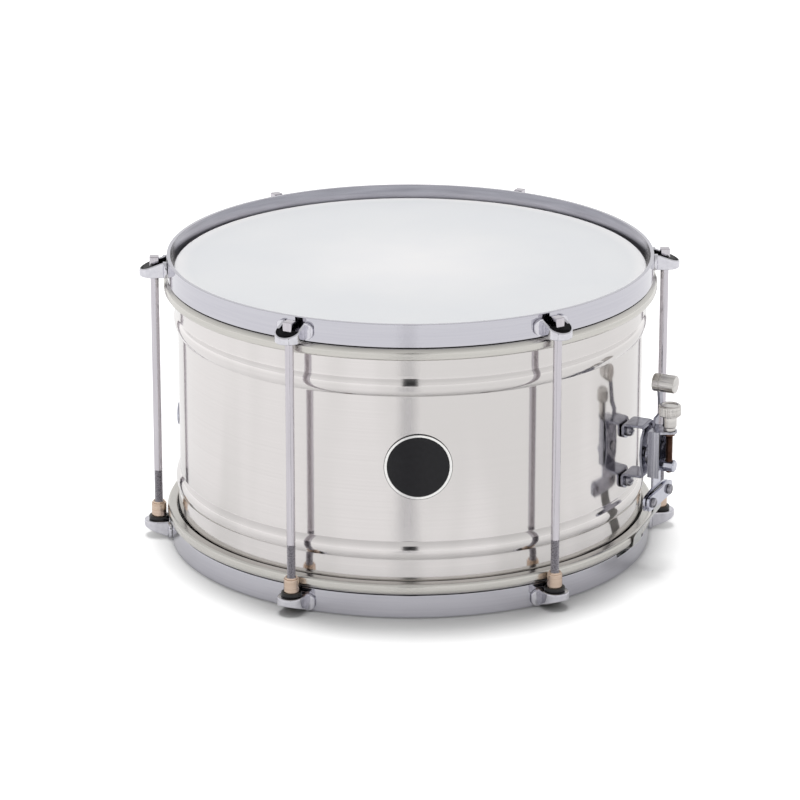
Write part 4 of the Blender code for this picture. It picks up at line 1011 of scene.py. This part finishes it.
grommet_profile = [(GROMMET_BORE, GROMMET_FACE + 0.6)]
grommet_profile += arc(GROMMET_BORE + 1.2, GROMMET_FACE + 0.4, 1.0, 170, 80, 6)
grommet_profile += [(GROMMET_FLANGE - 1.4, GROMMET_FACE + 1.3)]
grommet_profile += arc(GROMMET_FLANGE - 1.0, GROMMET_FACE + 0.2, 1.0, 70, 0, 6)
grommet_profile += [(GROMMET_FLANGE, GROMMET_FACE), (GROMMET_BARREL, GROMMET_FACE)]
grommet_profile += [(GROMMET_BARREL, GROMMET_BACK), (GROMMET_ROLL, GROMMET_BACK)]
grommet_profile += [(GROMMET_ROLL, GROMMET_BACK - 0.8), (GROMMET_BORE, GROMMET_BACK - 0.8)]
grommet = turned_piece("grommet", grommet_profile, steps=48)
smooth(grommet, 40.0)
seated(grommet, facing_out(VENT_AZIMUTH, SHELL_RADIUS, VENT_Z))
fitted(grommet, "vent_eyelet", bright_plate, "drum", "vent", "vent_grommet")

# Studio
# The drum stands on a white painted sweep, under one soft daylight-white light in a pale room, with
# a long lens in front. A dark stand and a grey card before it show in its polished metal.
FLOOR_WHITE = "F4F4F4"
FLOOR_SIZE = 12.0
# Steps of the sweep's lift, each a distance from the drum's middle in metres and an added light.
SEEN_LIFT = ((0.166, 0.0), (0.216, 0.5))
SEEN_OVAL = 1.2
MIRRORED_LIFT = ((0.165, 0.16), (0.215, 0.04), (0.29, 0.13), (1.6, 0.45))
# The room's light on the drum, how bright its ceiling shows, and the lamp, in metres and watts.
WORLD_LIGHT = 0.28
CEILING_LIGHT = 0.6
LIGHT_PLACE = (-0.2, 0.4, 4.0)
LIGHT_SIZE = 1.75
LIGHT_POWER = 118.0
CAMERA_DISTANCE = 2.6735
CAMERA_AZIMUTH = -3.3
CAMERA_ELEVATION = 18.70
CAMERA_YAW = -0.150
CAMERA_PITCH = -0.117
LENS = 186.0
# The stand and the card, in millimetres: pairs are a distance from the drum's middle and a half width.
STAND_AWAY = 2900
STAND_HALF = 175
STAND_HEIGHT = 1500
FOOT_NEAR = (900, 55)
CARD_AZIMUTH = -4.3
CARD_NEAR = (165, 21)
CARD_FAR = (1400, 140)
CARD_FULL = 0.46
CARD_FADES = ((190, 300, 0.0), (700, 620, 0.35))

bpy.ops.object.select_all(action="DESELECT")
bpy.ops.mesh.primitive_plane_add(size=FLOOR_SIZE)
floor = bpy.context.object
floor.name = "floor"
floor_paint = bpy.data.materials.new("white sweep")
floor_paint.use_nodes = True
tree = floor_paint.node_tree
tree.nodes.clear()
matte = add_node(tree, "ShaderNodeBsdfDiffuse", values={"Color": linear(FLOOR_WHITE)})
spot = add_node(tree, "ShaderNodeTexCoord").outputs["Object"]


def lifted(steps, narrow):
    """The sweep made lighter, by steps of (distance from the drum's middle in metres, amount)."""
    oval = add_node(tree, "ShaderNodeMapping", values={"Scale": (narrow, 1, 1)}, links={"Vector": spot})
    away = add_node(tree, "ShaderNodeVectorMath", {"operation": "LENGTH"},
                    links={0: oval.outputs["Vector"]}).outputs["Value"]
    total = None
    for (near, low_lift), (far, high_lift) in zip(steps, steps[1:]):
        base = low_lift if total is None else 0.0
        part = add_node(tree, "ShaderNodeMapRange", {"interpolation_type": "SMOOTHSTEP"},
                        {"From Min": near, "From Max": far, "To Min": base,
                         "To Max": high_lift - low_lift + base}, {"Value": away}).outputs["Result"]
        total = part if total is None else add_node(tree, "ShaderNodeMath", {"operation": "ADD"},
                                                    links={0: total, 1: part}).outputs[0]
    lift = add_node(tree, "ShaderNodeEmission", links={"Strength": total})
    return add_node(tree, "ShaderNodeAddShader", links={0: matte.outputs[0], 1: lift.outputs[0]})


def seen_rays(tree):
    """Share of 1 for rays that the camera sees straight, in a mirror or through glass."""
    rays = add_node(tree, "ShaderNodeLightPath").outputs
    mirrored = add_node(tree, "ShaderNodeMath", {"operation": "MAXIMUM"},
                        links={0: rays["Is Glossy Ray"], 1: rays["Is Transmission Ray"]})
    unscattered = add_node(tree, "ShaderNodeMath", {"operation": "LESS_THAN"}, {1: 0.5},
                           {0: rays["Diffuse Depth"]})
    mirrored = add_node(tree, "ShaderNodeMath", {"operation": "MULTIPLY"},
                        links={0: mirrored.outputs[0], 1: unscattered.outputs[0]})
    return add_node(tree, "ShaderNodeMath", {"operation": "MAXIMUM"},
                    links={0: rays["Is Camera Ray"], 1: mirrored.outputs[0]}).outputs[0]


direct = add_node(tree, "ShaderNodeLightPath").outputs["Is Camera Ray"]
clear = add_node(tree, "ShaderNodeMixShader",
                 links={0: direct, 1: lifted(MIRRORED_LIFT, 1.0).outputs[0],
                        2: lifted(SEEN_LIFT, SEEN_OVAL).outputs[0]})
pick = add_node(tree, "ShaderNodeMixShader", links={0: seen_rays(tree), 1: matte.outputs[0],
                                                    2: clear.outputs[0]})
add_node(tree, "ShaderNodeOutputMaterial", links={"Surface": pick.outputs[0]})
floor.data.materials.append(floor_paint)


def floor_card(name, near, far, z):
    """Flat card on the floor between two places, each given by its distance and half width."""
    corners = [(-near[1], -near[0], z), (near[1], -near[0], z),
               (far[1], -far[0], z), (-far[1], -far[0], z)]
    card = drawn_line(name, corners + corners[:1])
    bpy.ops.mesh.edge_face_add()
    bpy.ops.object.mode_set(mode="OBJECT")
    return card


# The camera's dark stand and its foot on the floor show in the beads. The grey card on the floor,
# which the camera doesn't see, gives the soft dark band that the shell shows at its middle.
bpy.ops.object.select_all(action="DESELECT")
bpy.ops.mesh.primitive_plane_add(size=1.0)
upright = bpy.context.object
upright.name = "dark_upright"
size = Matrix.Diagonal((2 * STAND_HALF * MM, STAND_HEIGHT * MM, 1, 1))
seated(upright, facing_out(CAMERA_AZIMUTH, STAND_AWAY, STAND_HEIGHT / 2) @ size)
foot = seated(floor_card("dark_foot", FOOT_NEAR, (STAND_AWAY, STAND_HALF), 1), about(CAMERA_AZIMUTH))
card = seated(floor_card("grey_card", CARD_NEAR, CARD_FAR, 2), about(CARD_AZIMUTH))
card.visible_camera = False
card.visible_shadow = False
for thing, colour in ((upright, "2A2A2D"), (foot, "2A2A2D"), (card, "A8A8AC")):
    paint, tree, shader, place = new_finish(thing.name + "_paint", {"Roughness": 0.9})
    shader.inputs["Base Color"].default_value = linear(colour)
    thing.data.materials.append(paint)
# The card fades out towards its sides and its ends.
along = add_node(tree, "ShaderNodeMapping", values={"Rotation": (0, 0, -math.radians(CARD_AZIMUTH))},
                 links={"Vector": place})
spot = add_node(tree, "ShaderNodeSeparateXYZ", links={"Vector": along.outputs["Vector"]})
reach = add_node(tree, "ShaderNodeMapRange",
                 values={"From Min": -CARD_NEAR[0] * MM, "From Max": -CARD_FAR[0] * MM,
                         "To Min": CARD_NEAR[1] * MM, "To Max": CARD_FAR[1] * MM},
                 links={"Value": spot.outputs["Y"]})
share = add_node(tree, "ShaderNodeMath", {"operation": "DIVIDE"},
                 links={0: spot.outputs["X"], 1: reach.outputs["Result"]})
share = add_node(tree, "ShaderNodeMath", {"operation": "ABSOLUTE"}, links={0: share.outputs[0]})
fade = add_node(tree, "ShaderNodeMapRange", {"interpolation_type": "SMOOTHSTEP"},
                {"From Min": 0.1, "From Max": 1.0, "To Min": CARD_FULL, "To Max": 0.0},
                {"Value": share.outputs[0]})
for faint, full, rest in CARD_FADES:
    gate = add_node(tree, "ShaderNodeMapRange",
                    values={"From Min": -faint * MM, "From Max": -full * MM, "To Min": rest},
                    links={"Value": spot.outputs["Y"]})
    fade = add_node(tree, "ShaderNodeMath", {"operation": "MULTIPLY"},
                    links={0: fade.outputs[0], 1: gate.outputs["Result"]})
tree.links.new(fade.outputs[0], shader.inputs["Alpha"])

scene = bpy.context.scene
lamp_data = bpy.data.lights.new("top_light", "AREA")
lamp_data.size = LIGHT_SIZE
lamp_data.energy = LIGHT_POWER
lamp = bpy.data.objects.new("top_light", lamp_data)
scene.collection.objects.link(lamp)
lamp.location = LIGHT_PLACE
lamp.rotation_euler = Vector((0, 0, -1)).to_track_quat("-Z", "Y").to_euler()
lamp.visible_glossy = False

world = bpy.data.worlds.new("studio")
scene.world = world
world.use_nodes = True
tree = world.node_tree
tree.nodes.clear()
room = add_node(tree, "ShaderNodeBackground", values={"Color": (1, 1, 1, 1), "Strength": WORLD_LIGHT})
way = add_node(tree, "ShaderNodeTexCoord").outputs["Generated"]
height = add_node(tree, "ShaderNodeSeparateXYZ", links={"Vector": way}).outputs["Z"]
wall = add_node(tree, "ShaderNodeMapRange", values={"To Min": 1.0, "To Max": CEILING_LIGHT},
                links={"Value": height})
white = add_node(tree, "ShaderNodeBackground", values={"Color": (1, 1, 1, 1)},
                 links={"Strength": wall.outputs["Result"]})
pick = add_node(tree, "ShaderNodeMixShader", links={0: seen_rays(tree), 1: room.outputs[0],
                                                    2: white.outputs[0]})
add_node(tree, "ShaderNodeOutputWorld", links={"Surface": pick.outputs[0]})

scene.view_settings.view_transform = "Standard"
camera_data = bpy.data.cameras.new("camera")
camera_data.lens = LENS
camera_data.clip_end = 50.0
camera = bpy.data.objects.new("camera", camera_data)
scene.collection.objects.link(camera)
rise = math.radians(CAMERA_ELEVATION)
tilt = math.radians(-CAMERA_ELEVATION + CAMERA_PITCH)
yaw = math.radians(CAMERA_YAW)
stand = Vector((0, -CAMERA_DISTANCE * math.cos(rise), CAMERA_DISTANCE * math.sin(rise)))
look = Vector((math.sin(yaw) * math.cos(tilt), math.cos(yaw) * math.cos(tilt), math.sin(tilt)))
round_axis = Matrix.Rotation(math.radians(CAMERA_AZIMUTH), 3, "Z")
camera.location = round_axis @ stand + Vector((0, 0, MIDDLE * MM))
camera.rotation_euler = (round_axis @ look).to_track_quat("-Z", "Y").to_euler()
scene.camera = camera
